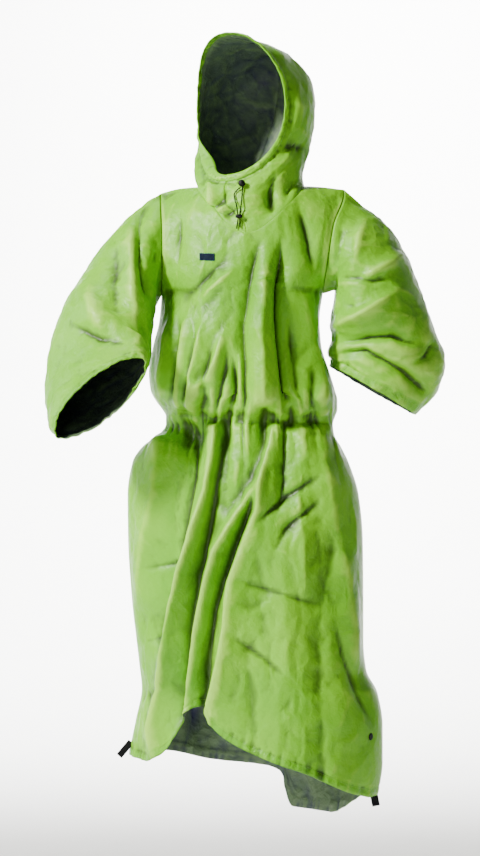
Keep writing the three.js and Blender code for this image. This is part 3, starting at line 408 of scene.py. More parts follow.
def column_places(neck_columns):
    share = np.arange(SHOULDER_COLUMNS) / SHOULDER_COLUMNS
    outside = mix(-1, -NECK_SHARE, mix(share, share * share, 0.4))
    share = np.arange(neck_columns + 1) / neck_columns
    inside = -NECK_SHARE * mix(1 - 2 * share, np.cos(share * math.pi), 0.5)
    return np.concatenate([outside, inside, -outside[::-1]])


def body_grid(side, neck_columns):
    places = column_places(neck_columns)
    hem = FRONT_HEM if side == "front" else BACK_HEM
    yoke = np.interp(np.linspace(0, 10, YOKE_STEPS + 1), np.arange(11), YOKE_ROWS)
    blouse = np.interp(np.linspace(0, 12, BLOUSE_STEPS + 1), np.arange(13), BLOUSE_ROWS)[1:]
    top = top_edge(places, side)
    rows = [body_point(places, mix(top, ARMPIT_Z, share), side) for share in yoke]
    rows += [body_point(places, np.full(places.shape, z), side) for z in blouse]
    for number in range(1, SKIRT_STEPS + 1):
        share = number / SKIRT_STEPS
        drift = COLUMN_DRIFT * (1 - places ** 2) * share if side == "front" else 0
        across = places - drift
        end = look_up(hem, body_point(across, np.full(places.shape, HEM_LEVEL), side)[:, 0], "z")
        rows.append(body_point(across, mix(BLOUSE_END_Z, end, share), side))
    return np.stack(rows)


# folds
def beside_line(line, x, z):
    """Distance from a fold's line, which side of it, and how much of the fold is left there:
    it fades towards its ends, quickly at the gathered waist and slowly elsewhere."""
    line = np.array(line, float)
    steps = np.diff(line, axis=0)
    lengths = np.hypot(steps[:, 0], steps[:, 1])
    total = lengths.sum()
    best = np.full(x.shape, 1e9)
    side = np.ones(x.shape)
    start_fade, end_fade = (
        min(WAIST_FADE if abs(z_end - WAIST_Z) < WAIST_REACH else FOLD_FADE, total / 2)
        for z_end in (line[0][1], line[-1][1]))
    left = np.zeros(x.shape)
    walked = 0
    for (ax, az), step, length in zip(line, steps, lengths):
        dx, dz = step / length
        along = np.clip((x - ax) * dx + (z - az) * dz, 0, length)
        distance = np.hypot(x - ax - dx * along, z - az - dz * along)
        nearer = distance < best
        best = np.where(nearer, distance, best)
        side = np.where(nearer, dx * (z - az) - dz * (x - ax), side)
        here = smooth((walked + along) / start_fade) * smooth((total - walked - along) / end_fade)
        left = np.where(nearer, here, left)
        walked += length
    return best, side, left


def fold_height(folds, name, x, z):
    """The height of all the folds of a piece. Their lines waver a little, as cloth does."""
    height = np.zeros(x.shape)
    places = np.stack([x, np.zeros(x.shape), z], -1)
    x = x + grain(places, 70, 3) * 1.6
    z = z + grain(places, 70, 4) * 1.6
    for on, line, left, right, high in folds:
        if on != name:
            continue
        distance, side, share = beside_line(line, x, z)
        reach = np.where(side > 0, right, left)
        sharpness = RIDGE_SHARPNESS if high > 0 else TROUGH_SHARPNESS
        blunt = 1.5 if high > 0 else 2.6
        tip = np.sqrt(distance ** 2 + blunt ** 2) - blunt
        profile = np.exp(-(tip / (reach * 0.92)) ** sharpness)
        height += high * FOLD_RISE * share * profile
    return height


def grid_normals(grid, closed, outward_sign):
    if closed:
        across = np.roll(grid, -1, 1) - np.roll(grid, 1, 1)
    else:
        across = np.gradient(grid, axis=1)
    down = np.gradient(grid, axis=0)
    return unit(np.cross(across, down)) * outward_sign


def facing_folds(grid, normals, name):
    x, z = grid[..., 0], grid[..., 2]
    facing = smooth(np.abs(normals[..., 1]) * 1.6)
    front = fold_height(FRONT_FOLDS, name, x, z)
    back = fold_height(BACK_FOLDS, name, x, z)
    return np.where(normals[..., 1] < 0, front, back) * facing


def facets(points, size, seed):
    """Straight creases between flat facets: nought on a crease, and 1 away from it."""
    scaled = points / np.asarray(size, float) + seed * 9.7
    near = [noise.voronoi(Vector(p))[0] for p in scaled.reshape(-1, 3)]
    gap = np.array([(d[1] - d[0]) for d in near]).reshape(points.shape[:-1])
    return np.clip(gap / 0.3, 0, 1)


def crinkles(grid, stretch, seed, strength=1.0):
    """The small sharp creases that a coated cloth keeps."""
    warp = np.stack([grain(grid, 70, seed + n) for n in range(3)], -1) * 18
    patches = smooth(grain(grid, 95, seed + 3) * 0.9 + 0.55)
    stretch = np.array(stretch)
    wide = ridges(grid + warp, stretch * 90, seed + 4) * 1.3
    pressed = facets(grid + warp * 0.4, stretch * 58, seed) - facets(grid + warp * 0.3, stretch * 44, seed + 1)
    small = facets(grid + warp * 0.5, stretch * 21, seed + 2) - facets(grid, stretch * 18, seed + 3)
    return (wide + pressed * 1.4 + small * 0.45 * (0.2 + 0.8 * patches)) * strength


def waist_gathers(grid, seed):
    """Pleats of unequal length that the gathered waist sends up and down."""
    x, z = grid[..., 0], grid[..., 2]
    fan = np.maximum(1 + (z - WAIST_Z) * np.where(z < WAIST_Z, -0.0012, 0.0007), 0.5)
    flat = np.stack([x / fan, np.zeros(x.shape), np.zeros(x.shape)], -1)
    uneven = 1 + 0.9 * grain(flat, 17, seed + 2)
    length = np.where(z > WAIST_Z, 62, 96) * np.clip(uneven, 0.35, 1.9)
    away = np.abs(z - WAIST_Z)
    broad = ridges(flat, 25, seed) * 6.5 * np.exp(-(away / length) ** 1.6)
    narrow = ridges(flat, 10, seed + 1) * 2.6 * np.exp(-(away / (length * 0.4)) ** 1.6)
    return broad + narrow


def raise_cloth(grid, normals, heights):
    return grid + normals * heights[..., None]


# sleeves and hood
def sleeve_point(rows, at, angle):
    centre = look_up_vector(rows, at, "centre")
    outer = look_up_vector(rows, at, "outer")
    front = look_up_vector(rows, at, "front")
    return centre + outer * np.cos(angle)[:, None] + front * np.sin(angle)[:, None]


def hood_point(at, angle):
    value = {name: float(look_up(HOOD, at, name)) for name in HOOD if name != "at"}
    yaw = math.radians(value["yaw"])
    ahead = np.array((-math.sin(yaw), -math.cos(yaw), 0))
    aside = np.array((math.cos(yaw), -math.sin(yaw), 0))
    throat = ahead * value["throat"] + (0, 0, value["throat_z"])
    crown = ahead * value["crown"] + (0, 0, value["crown_z"])
    cos, sin = np.cos(angle), np.sin(angle)
    along = np.sign(cos) * np.abs(cos) ** HOOD_FULLNESS
    over = np.sign(sin) * np.abs(sin) ** HOOD_FULLNESS
    point = (crown + throat) / 2 + along[:, None] * (throat - crown) / 2
    point = point + over[:, None] * value["half"] * aside
    point = point - (sin * sin)[:, None] * value["setback"] * ahead
    point[:, 2] += value["lift"] * sin * sin
    point[:, 0] += HOOD_CENTRE_X
    return point


def tube_grid(loop, places, point_at, angle_at, ease):
    offset = loop - point_at(0, angle_at(0))
    rings = [point_at(at, angle_at(at)) + offset * max(1 - at / ease, 0) for at in places]
    return np.stack(rings)


# meshes
def finish_mesh(name, points, faces, materials, slots=None, flat=None, uvs=None):
    mesh = bpy.data.meshes.new(name)
    mesh.from_pydata([tuple(p) for p in points], [], [tuple(f) for f in faces])
    for material in materials:
        mesh.materials.append(material)
    if slots is not None:
        mesh.polygons.foreach_set("material_index", np.asarray(slots, np.int32))
    smooth_faces = np.ones(len(faces), bool) if flat is None else ~np.asarray(flat, bool)
    mesh.polygons.foreach_set("use_smooth", smooth_faces)
    if uvs is not None:
        layer = mesh.uv_layers.new(name="cut")
        layer.data.foreach_set("uv", np.asarray(uvs, np.float32).ravel())
    mesh.update()
    mesh.validate()
    piece = bpy.data.objects.new(name, mesh)
    bpy.context.scene.collection.objects.link(piece)
    return piece


def hollows(grid, normals, closed):
    """How far each place lies in a hollow (up to 1) or on a ridge (down to -1), at three reaches
    across the cloth, as an attribute that the cloth's material turns into painted shade in the
    hollows and painted highlight on the ridges."""
    total = np.zeros(grid.shape[:2])
    for reach, weight in HOLLOW_REACHES:
        around = []
        for axis, count in enumerate(grid.shape[:2]):
            for step in (-reach, reach):
                index = np.arange(count) + step
                index = index % count if closed and axis == 1 else np.clip(index, 0, count - 1)
                around.append(np.take(grid, index, axis) - grid)
        rise = np.sum(sum(around) / 4 * normals, -1)
        span = sum(np.linalg.norm(away, axis=-1) for away in around) / 4
        total += weight * rise / np.maximum(span, 0.1)
    return np.clip(total, -1, 1)


def wall(name, grid, normals, thickness, closed, materials, hem_rows=0):
    """A sheet with an outer skin, an inner skin and rims. Its map is in metres of cloth.
    The lowest rows may take the third material, for a doubled hem."""
    rows, columns = grid.shape[:2]
    half = thickness[..., None] / 2 if np.ndim(thickness) else thickness / 2
    skins = np.concatenate([(grid + normals * half).reshape(-1, 3), (grid - normals * half).reshape(-1, 3)])
    spans = columns if closed else columns - 1
    i, j = np.meshgrid(np.arange(rows - 1), np.arange(spans), indexing="ij")
    n = (j + 1) % columns
    quads = np.stack([i * columns + j, i * columns + n, (i + 1) * columns + n, (i + 1) * columns + j], -1)
    ring = np.concatenate([grid, grid[:, :1]], 1) if closed else grid
    middle = ring[rows // 2]
    u = np.concatenate([[0], np.cumsum(np.linalg.norm(np.diff(middle, axis=0), axis=1))])
    v = np.concatenate([[0], np.cumsum(np.linalg.norm(np.diff(grid, axis=0), axis=-1).mean(1))])
    v = v[-1] - v
    maps = np.stack([np.stack([u[j + a], v[i + b]], -1) for a, b in ((0, 0), (1, 0), (1, 1), (0, 1))], -2)
    inside = rows * columns
    quads = quads.reshape(-1, 4)
    maps = maps.reshape(-1, 4, 2)
    a, b, c, d = (skins[quads[:, k]] for k in range(4))
    turned_in = np.sum(np.cross(b - a, d - a) * normals.reshape(-1, 3)[quads[:, 0]]) < 0
    other_way = np.linalg.norm(a - c, axis=1) > np.linalg.norm(b - d, axis=1)
    first = np.where(other_way[:, None], (0, 1, 3), (0, 1, 2))
    second = np.where(other_way[:, None], (1, 2, 3), (0, 2, 3))
    corners = np.stack([first, second], 1).reshape(-1, 3)
    skin_faces = np.take_along_axis(np.repeat(quads, 2, 0), corners, 1)
    skin_maps = np.take_along_axis(np.repeat(maps, 2, 0), corners[..., None], 1)
    rims, rim_maps = [], []

    def rim(first, second, first_map, second_map):
        far_first, far_second = first + inside, second + inside
        rims.append(np.stack([first, second, far_second], -1))
        rims.append(np.stack([first, far_second, far_first], -1))
        rim_maps.append(np.stack([first_map, second_map, second_map], -2))
        rim_maps.append(np.stack([first_map, second_map, first_map], -2))

    by_row = quads.reshape(rows - 1, spans, 4)
    map_by_row = maps.reshape(rows - 1, spans, 4, 2)
    rim(by_row[0][:, 1], by_row[0][:, 0], map_by_row[0][:, 1], map_by_row[0][:, 0])
    rim(by_row[-1][:, 3], by_row[-1][:, 2], map_by_row[-1][:, 3], map_by_row[-1][:, 2])
    if not closed:
        left, right = by_row[:, 0], by_row[:, -1]
        left_map, right_map = map_by_row[:, 0], map_by_row[:, -1]
        rim(left[:, 0], left[:, 3], left_map[:, 0], left_map[:, 3])
        rim(right[:, 2], right[:, 1], right_map[:, 2], right_map[:, 1])
    rims = np.concatenate(rims)
    rim_maps = np.concatenate(rim_maps)
    faces = np.concatenate([skin_faces, skin_faces[:, ::-1] + inside, rims])
    uvs = np.concatenate([skin_maps, skin_maps[:, ::-1], rim_maps])
    if turned_in:
        faces, uvs = faces[:, ::-1], uvs[:, ::-1]
    slots = np.zeros(len(faces), int)
    slots[len(skin_faces):2 * len(skin_faces)] = 1
    if hem_rows:
        slots[len(skin_faces) - 2 * hem_rows * spans:len(skin_faces)] = 2
    flat = np.zeros(len(faces), bool)
    flat[2 * len(skin_faces):] = True
    piece = finish_mesh(name, to_part(skins), faces, materials, slots, flat, uvs * MM)
    # The hollow attribute carries painted shade and painted highlight to the cloth's material; the inner skin takes
    # it reversed.
    depth = hollows(grid, normals, closed).ravel()
    attribute = piece.data.attributes.new("hollow", "FLOAT", "POINT")
    attribute.data.foreach_set("value", np.concatenate([depth, -depth]).astype(np.float32))
    return piece


def turned_piece(name, profile, axis, centre, material, sides=48):
    """A turned piece from (radius, height) points, its axis along the given direction."""
    angles = np.arange(sides) / sides * 2 * math.pi
    profile = np.array(profile, float)
    rings = profile[1:-1]
    points = [(0, 0, profile[0][1])]
    for radius, height in rings:
        points += [(radius * math.cos(a), radius * math.sin(a), height) for a in angles]
    points.append((0, 0, profile[-1][1]))
    faces = [[0, 1 + (k + 1) % sides, 1 + k] for k in range(sides)]
    for ring in range(len(rings) - 1):
        low, high = 1 + ring * sides, 1 + (ring + 1) * sides
        faces += [[low + k, low + (k + 1) % sides, high + (k + 1) % sides, high + k] for k in range(sides)]
    last = 1 + (len(rings) - 1) * sides
    faces += [[last + k, last + (k + 1) % sides, len(points) - 1] for k in range(sides)]
    turn = Vector((0, 0, 1)).rotation_difference(Vector(axis)).to_matrix()
    placed = np.array([turn @ Vector(p) for p in points]) + np.array(centre)
    return finish_mesh(name, to_part(placed), faces, [material])


def through_points(route, step):
    """A smooth line through the points of a route, in steps of the given length."""
    route = np.array(route, float)
    ends = np.concatenate([[2 * route[0] - route[1]], route, [2 * route[-1] - route[-2]]])
    line = []
    for k in range(1, len(ends) - 2):
        p0, p1, p2, p3 = ends[k - 1:k + 3]
        count = max(int(np.linalg.norm(p2 - p1) / step), 2)
        for t in np.arange(count) / count:
            line.append(0.5 * (2 * p1 + (p2 - p0) * t + (2 * p0 - 5 * p1 + 4 * p2 - p3) * t * t
                               + (3 * p1 - p0 - 3 * p2 + p3) * t ** 3))
    line.append(route[-1])
    return np.array(line)


def braided_cord(name, line, radius, material, sides=16):
    """A round cord with the relief of its braid, closed at both ends."""
    tangents = unit(np.gradient(line, axis=0))
    side = unit(np.cross(tangents[0], (0, 1, 0)))
    walked = np.concatenate([[0], np.cumsum(np.linalg.norm(np.diff(line, axis=0), axis=1))])
    points = [line[0]]
    angles = np.arange(sides) / sides * 2 * math.pi
    for point, tangent, along in zip(line, tangents, walked):
        side = unit(side - tangent * np.dot(side, tangent))
        other = np.cross(tangent, side)
        relief = np.sin(4 * angles + along * 2.6) * np.sin(4 * angles - along * 2.6)
        for angle, rise in zip(angles, relief):
            points.append(point + (side * math.cos(angle) + other * math.sin(angle)) * radius * (0.96 + 0.05 * rise))
    points.append(line[-1])
    faces = [[0, 1 + (k + 1) % sides, 1 + k] for k in range(sides)]
    for ring in range(len(line) - 1):
        low, high = 1 + ring * sides, 1 + (ring + 1) * sides
        faces += [[low + k, low + (k + 1) % sides, high + (k + 1) % sides, high + k] for k in range(sides)]
    last = 1 + (len(line) - 1) * sides
    faces += [[last + k, last + (k + 1) % sides, len(points) - 1] for k in range(sides)]
    piece = finish_mesh(name, to_part(points), faces, [material])
    turn_faces_out(piece)
    return piece


def turn_faces_out(piece):
    work = bmesh.new()
    work.from_mesh(piece.data)
    bmesh.ops.recalc_face_normals(work, faces=work.faces)
    work.to_mesh(piece.data)
    work.free()


def webbing_tab(name, place, material):
    """A short length of webbing with rounded selvedges."""
    x, y, z, width, length, thick, lean = place
    work = bmesh.new()
    bmesh.ops.create_cube(work, size=1)
    bmesh.ops.scale(work, vec=(width, thick, length), verts=work.verts)
    bmesh.ops.bevel(work, geom=work.edges, offset=thick * 0.42, segments=4, affect="EDGES", profile=0.5)
    turn = Matrix.Rotation(math.radians(lean), 4, "Y")
    bmesh.ops.transform(work, matrix=Matrix.Translation((x, y, z)) @ turn, verts=work.verts)
    points = to_part([tuple(v.co) for v in work.verts])
    for vert, point in zip(work.verts, points):
        vert.co = point
    mesh = bpy.data.meshes.new(name)
    work.to_mesh(mesh)
    work.free()
    mesh.materials.append(material)
    piece = bpy.data.objects.new(name, mesh)
    bpy.context.scene.collection.objects.link(piece)
    return piece


# Materials
def colour(red, green, blue):
    """A colour given as it shows on a screen, 0 to 255, in the shader's linear terms."""
    def linear(value):
        value /= 255
        return value / 12.92 if value <= 0.04045 else ((value + 0.055) / 1.055) ** 2.4
    return (linear(red), linear(green), linear(blue), 1)


class Finish:
    """A material under construction: nodes are added and joined by name."""

    def __init__(self, name):
        self.material = bpy.data.materials.new(name)
        self.material.use_nodes = True
        self.tree = self.material.node_tree
        self.shader = self.tree.nodes["Principled BSDF"]

    def add(self, kind, **settings):
        node = self.tree.nodes.new(kind)
        for key, value in settings.items():
            if key in node.inputs:
                node.inputs[key].default_value = value
            else:
                setattr(node, key, value)
        return node

    def join(self, source, output, target, socket):
        self.tree.links.new(source.outputs[output], target.inputs[socket])

    def ramp(self, source, output, stops):
        node = self.add("ShaderNodeValToRGB")
        elements = node.color_ramp.elements
        elements[0].position, elements[0].color = stops[0]
        elements[1].position, elements[1].color = stops[-1]
        for position, value in stops[1:-1]:
            elements.new(position).color = value
        self.join(source, output, node, "Fac")
        return node

    def bump(self, source, output, distance, strength, below=None):
        node = self.add("ShaderNodeBump", Distance=distance, Strength=strength)
        self.join(source, output, node, "Height")
        if below is not None:
            self.join(below, "Normal", node, "Normal")
        return node


def grey(value):
    return (value, value, value, 1)


def coated_cloth(name, light, mid, dark, pale, roughness, sheen, crease_depth):
    """Plain-woven nylon under a thin coating: mottled colour, a soft gloss that breaks up along
    fine creases, and the weave's own grain. Its colour also holds painted shade, darker and bluer
    in the hollows of the folds, and painted highlight, the pale colour mixed onto their ridges."""
    finish = Finish(name)
    place = finish.add("ShaderNodeTexCoord")
    broad = finish.add("ShaderNodeTexNoise", Scale=5.5, Detail=3.0, Roughness=0.55)
    finish.join(place, "Object", broad, "Vector")
    tint = finish.ramp(broad, "Fac", [(0.3, dark), (0.5, mid), (0.72, light)])
    speck = finish.add("ShaderNodeTexNoise", Scale=160.0, Detail=3.0, Roughness=0.6)
    finish.join(place, "Object", speck, "Vector")
    speck_tint = finish.ramp(speck, "Fac", [(0.3, grey(0.86)), (0.7, grey(1.0))])
    tinted = finish.add("ShaderNodeMix", data_type="RGBA", blend_type="MULTIPLY")
    tinted.inputs[0].default_value = 0.6
    finish.join(tint, "Color", tinted, 6)
    finish.join(speck_tint, "Color", tinted, 7)
    # Painted shade: the hollow attribute darkens and blues the colour in the hollows of the folds.
    hollow = finish.add("ShaderNodeAttribute", attribute_name="hollow")
    halved = finish.add("ShaderNodeMath", operation="MULTIPLY_ADD")
    finish.join(hollow, "Fac", halved, 0)
    halved.inputs[1].default_value = 0.5
    halved.inputs[2].default_value = 0.5
    shade = finish.ramp(halved, "Value", [
        (0.5, grey(1.0)), (0.6, (0.64, 0.62, 0.9, 1)), (0.78, (0.24, 0.19, 0.8, 1))])
    shaded = finish.add("ShaderNodeMix", data_type="RGBA", blend_type="MULTIPLY")
    shaded.inputs[0].default_value = 1.0
    finish.join(tinted, 2, shaded, 6)
    finish.join(shade, "Color", shaded, 7)
    # Painted highlight: the pale colour is mixed onto the sharpest ridges.
    ridge = finish.ramp(halved, "Value", [(0.18, grey(0.55)), (0.38, grey(0.0))])
    ridge_painted_highlight = finish.add("ShaderNodeMix", data_type="RGBA", blend_type="MIX")
    finish.join(ridge, "Color", ridge_painted_highlight, 0)
    finish.join(shaded, 2, ridge_painted_highlight, 6)
    ridge_painted_highlight.inputs[7].default_value = pale
    finish.join(ridge_painted_highlight, 2, finish.shader, "Base Color")

    relief = None
    for scale, distortion, depth, strength in (
            (19.0, 0.8, crease_depth * 2.4, 0.46), (46.0, 0.6, crease_depth * 1.2, 0.42),
            (120.0, 0.5, crease_depth * 0.6, 0.38)):
        crumple = finish.add("ShaderNodeTexNoise", Scale=scale, Detail=1.5, Roughness=0.5, Distortion=distortion)
        finish.join(place, "Object", crumple, "Vector")
        centred = finish.add("ShaderNodeMath", operation="SUBTRACT")
        finish.join(crumple, "Fac", centred, 0)
        centred.inputs[1].default_value = 0.5
        crease = finish.add("ShaderNodeMath", operation="ABSOLUTE")
        finish.join(centred, "Value", crease, 0)
        lowered = finish.add("ShaderNodeMath", operation="MULTIPLY")
        finish.join(crease, "Value", lowered, 0)
        lowered.inputs[1].default_value = -6
        relief = finish.bump(lowered, "Value", depth, strength, relief)
    weave = finish.add("ShaderNodeTexWave", Scale=420.0, Distortion=0.6)
    finish.join(place, "UV", weave, "Vector")
    relief = finish.bump(weave, "Fac", 0.00006, 0.3, relief)
    finish.join(relief, "Normal", finish.shader, "Normal")

    gloss = finish.ramp(crumple, "Fac", [(0.3, grey(roughness + 0.08)), (0.7, grey(roughness - 0.06))])
    finish.join(gloss, "Color", finish.shader, "Roughness")
    finish.shader.inputs["Specular IOR Level"].default_value = 0.28
    finish.shader.inputs["Sheen Weight"].default_value = sheen
    finish.shader.inputs["Sheen Roughness"].default_value = 0.4
    return finish.material


def moulded_plastic(name, base, roughness):
    finish = Finish(name)
    place = finish.add("ShaderNodeTexCoord")
    pebbled = finish.add("ShaderNodeTexNoise", Scale=900.0, Detail=2.0)
    finish.join(place, "Object", pebbled, "Vector")
    tint = finish.ramp(pebbled, "Fac", [(0.3, base), (0.7, tuple(c * 1.5 for c in base[:3]) + (1,))])
    finish.join(tint, "Color", finish.shader, "Base Color")
    worn = finish.ramp(pebbled, "Fac", [(0.3, grey(roughness - 0.05)), (0.7, grey(roughness + 0.1))])
    finish.join(worn, "Color", finish.shader, "Roughness")
    finish.shader.inputs["Specular IOR Level"].default_value = 0.22
    relief = finish.bump(pebbled, "Fac", 0.00008, 0.4)
    finish.join(relief, "Normal", finish.shader, "Normal")
    return finish.material


def woven_tape(name, base, light, threads, depth):
    """Webbing, braid or a woven patch: crossing threads on the object's own axes."""
    finish = Finish(name)
    place = finish.add("ShaderNodeTexCoord")
    warp = finish.add("ShaderNodeTexWave", Scale=threads, bands_direction="X", Distortion=0.4)
    weft = finish.add("ShaderNodeTexWave", Scale=threads * 0.8, bands_direction="Z", Distortion=0.4)
    finish.join(place, "Object", warp, "Vector")
    finish.join(place, "Object", weft, "Vector")
    crossed = finish.add("ShaderNodeMath", operation="MULTIPLY")
    finish.join(warp, "Fac", crossed, 0)
    finish.join(weft, "Fac", crossed, 1)
    tint = finish.ramp(crossed, "Value", [(0.1, base), (0.8, light)])
    finish.join(tint, "Color", finish.shader, "Base Color")
    finish.shader.inputs["Roughness"].default_value = 0.8
    finish.shader.inputs["Specular IOR Level"].default_value = 0.15
    relief = finish.bump(crossed, "Value", depth, 0.6)
    finish.join(relief, "Normal", finish.shader, "Normal")
    return finish.material


def plain_paper(name, tint):
    finish = Finish(name)
    place = finish.add("ShaderNodeTexCoord")
    grainy = finish.add("ShaderNodeTexNoise", Scale=2.0, Detail=2.0)
    finish.join(place, "Object", grainy, "Vector")
    shade = finish.ramp(grainy, "Fac", [(0.3, tint), (0.7, tuple(c * 0.98 for c in tint[:3]) + (1,))])
    finish.join(shade, "Color", finish.shader, "Base Color")
    finish.shader.inputs["Roughness"].default_value = 0.9
    finish.shader.inputs["Specular IOR Level"].default_value = 0.1
    return finish.material


# The fourth colour of each cloth is its painted highlight, mixed onto the ridges of its folds.
nylon = coated_cloth("lime coated nylon", colour(128, 196, 34), colour(112, 182, 24),
                     colour(98, 168, 20), colour(176, 222, 84), 0.43, 0, 0.0005)
doubled_nylon = coated_cloth("lime coated nylon, doubled at a hem", colour(118, 188, 30),
                             colour(102, 174, 22), colour(90, 158, 18), colour(168, 214, 78),
                             0.43, 0, 0.0012)
coating = coated_cloth("greyish green inner coating", colour(112, 132, 98), colour(96, 118, 84),
                       colour(80, 102, 70), colour(140, 160, 124), 0.55, 0.02, 0.0008)
thread = woven_tape("lime sewing thread", colour(120, 170, 52), colour(172, 214, 96), 900, 0.0001)
black_plastic = moulded_plastic("satin black plastic", colour(5, 5, 6), 0.55)
black_braid = woven_tape("black braided cord", colour(4, 4, 5), colour(13, 13, 15), 700, 0.0002)
black_webbing = woven_tape("black webbing", colour(8, 8, 10), colour(26, 26, 30), 560, 0.0003)
patch_weave = woven_tape("dark blue woven patch", colour(5, 16, 30), colour(14, 38, 60), 640, 0.0002)
patch_thread = woven_tape("pale blue edge thread", colour(60, 110, 144), colour(120, 160, 184), 900, 0.0001)
pale_paper = plain_paper("pale paper", colour(243, 243, 241))


# Stitching
def stitch_tree():
    """Evenly spaced stitches along a line, each turned to follow it."""
    tree = bpy.data.node_groups.new("row of stitches", "GeometryNodeTree")
    interface = tree.interface
    interface.new_socket("Line", in_out="INPUT", socket_type="NodeSocketGeometry")
    for name, value in (("Spacing", STITCH_SPACING * MM), ("Stitch length", STITCH * MM),
                        ("Thread thickness", THREAD * MM)):
        socket = interface.new_socket(name, in_out="INPUT", socket_type="NodeSocketFloat")
        socket.default_value = value
    interface.new_socket("Thread", in_out="INPUT", socket_type="NodeSocketMaterial")
    interface.new_socket("Stitches", in_out="OUTPUT", socket_type="NodeSocketGeometry")
    nodes, links = tree.nodes, tree.links
    given = nodes.new("NodeGroupInput")
    result = nodes.new("NodeGroupOutput")
    curve = nodes.new("GeometryNodeMeshToCurve")
    even = nodes.new("GeometryNodeResampleCurve")
    even.mode = "LENGTH"
    tangent = nodes.new("GeometryNodeInputTangent")
    turn = nodes.new("FunctionNodeAlignEulerToVector")
    turn.axis = "Z"
    stitch = nodes.new("GeometryNodeMeshUVSphere")
    stitch.inputs["Segments"].default_value = 6
    stitch.inputs["Rings"].default_value = 5
    stitch.inputs["Radius"].default_value = 0.5
    size = nodes.new("ShaderNodeCombineXYZ")
    place = nodes.new("GeometryNodeInstanceOnPoints")
    real = nodes.new("GeometryNodeRealizeInstances")
    paint = nodes.new("GeometryNodeSetMaterial")
    links.new(given.outputs["Line"], curve.inputs[0])
    links.new(curve.outputs[0], even.inputs["Curve"])
    links.new(given.outputs["Spacing"], even.inputs["Length"])
    links.new(tangent.outputs[0], turn.inputs["Vector"])
    links.new(given.outputs["Thread thickness"], size.inputs[0])
    links.new(given.outputs["Thread thickness"], size.inputs[1])
    links.new(given.outputs["Stitch length"], size.inputs[2])
    links.new(even.outputs[0], place.inputs["Points"])
    links.new(stitch.outputs["Mesh"], place.inputs["Instance"])
    links.new(turn.outputs[0], place.inputs["Rotation"])
    links.new(size.outputs[0], place.inputs["Scale"])
    links.new(place.outputs[0], real.inputs[0])
    links.new(real.outputs[0], paint.inputs["Geometry"])
    links.new(given.outputs["Thread"], paint.inputs["Material"])
    links.new(paint.outputs[0], result.inputs[0])
    return tree


STITCHES = stitch_tree()


def sew(name, lines, material, spacing=STITCH_SPACING, length=STITCH, thickness=THREAD):
    """Rows of stitches along lines of points, made into one plain mesh."""
    points, edges = [], []
    for line in lines:
        start = len(points)
        points += [tuple(p) for p in to_part(line)]
        edges += [(start + k, start + k + 1) for k in range(len(line) - 1)]
    mesh = bpy.data.meshes.new(name + " line")
    mesh.from_pydata(points, edges, [])
    carrier = bpy.data.objects.new(name + " line", mesh)
    bpy.context.scene.collection.objects.link(carrier)
    modifier = carrier.modifiers.new("stitches", "NODES")
    modifier.node_group = STITCHES
    sockets = {item.name: item.identifier for item in STITCHES.interface.items_tree
               if item.in_out == "INPUT"}
    modifier[sockets["Spacing"]] = spacing * MM
    modifier[sockets["Stitch length"]] = length * MM
    modifier[sockets["Thread thickness"]] = thickness * MM
    modifier[sockets["Thread"]] = material
    graph = bpy.context.evaluated_depsgraph_get()
    made = bpy.data.meshes.new_from_object(carrier.evaluated_get(graph))
    made.name = name
    piece = bpy.data.objects.new(name, made)
    bpy.context.scene.collection.objects.link(piece)
    bpy.data.objects.remove(carrier)
    return piece


def inset_line(grid, normals, edge, inset, lift):
    """A line that runs along an edge of a sheet, set in from it and just above its skin."""
    if edge == "low":
        grid, normals = grid[::-1], normals[::-1]
    elif edge == "left":
        grid, normals = np.swapaxes(grid, 0, 1), np.swapaxes(normals, 0, 1)
    elif edge == "right":
        grid, normals = np.swapaxes(grid, 0, 1)[::-1], np.swapaxes(normals, 0, 1)[::-1]
    line = []
    for column in range(grid.shape[1]):
        strip = grid[:14, column]
        walked = np.concatenate([[0], np.cumsum(np.linalg.norm(np.diff(strip, axis=0), axis=1))])
        at = np.interp(inset, walked, np.arange(len(strip)))
        low = int(at)
        high = min(low + 1, len(strip) - 1)
        point = mix(strip[low], strip[high], at - low)
        line.append(point + normals[low, column] * lift)
    return np.array(line)


# The camera stands where the photograph's stood
aim = to_part((-14, 0, -419))
stand = to_part((-14, -5000, -419))
camera_data = bpy.data.cameras.new("camera")
camera_data.sensor_fit = "VERTICAL"
camera_data.sensor_height = 36
camera_data.lens = 36 * 5000 / 1540.8
camera = bpy.data.objects.new("camera", camera_data)
camera.location = stand
camera.rotation_euler = Vector(aim - stand).to_track_quat("-Z", "Y").to_euler()
bpy.context.scene.collection.objects.link(camera)
bpy.context.scene.camera = camera

# The drawcord: two strands run from the stopper through the toggle to their free ends
STOPPER = (-11, -97.8, 13)
STOPPER_RADIUS = 6.3
TOGGLE = (-16, -109.3, -46)
CORD_RADIUS = 1.2
RIGHT_STRAND = [
    (-13, -97.5, 6), (-19, -95.4, 1), (-24, -95.6, -6), (-23, -99.4, -16), (-20, -104, -27),
    (-18, -107.3, -41.9), (-17.6, -108.6, -46), (-17.5, -107.4, -50.2), (-18.5, -107, -58),
    (-20, -106.5, -68),
]
LEFT_STRAND = [
    (-9.5, -97.9, 6), (-10, -99.8, -4), (-11, -103.4, -16), (-12.5, -106.7, -29),
    (-14.5, -107.6, -41.9), (-14.6, -108.8, -46), (-14.5, -108, -50.2), (-14.2, -108.2, -59),
    (-13.5, -108.3, -66),
]
strands = {}
for name, route in (("right strand", RIGHT_STRAND), ("left strand", LEFT_STRAND)):
    line = through_points(route, 0.7)
    strands[name] = (braided_cord(name.replace(" ", "_"), line, CORD_RADIUS, black_braid), line)
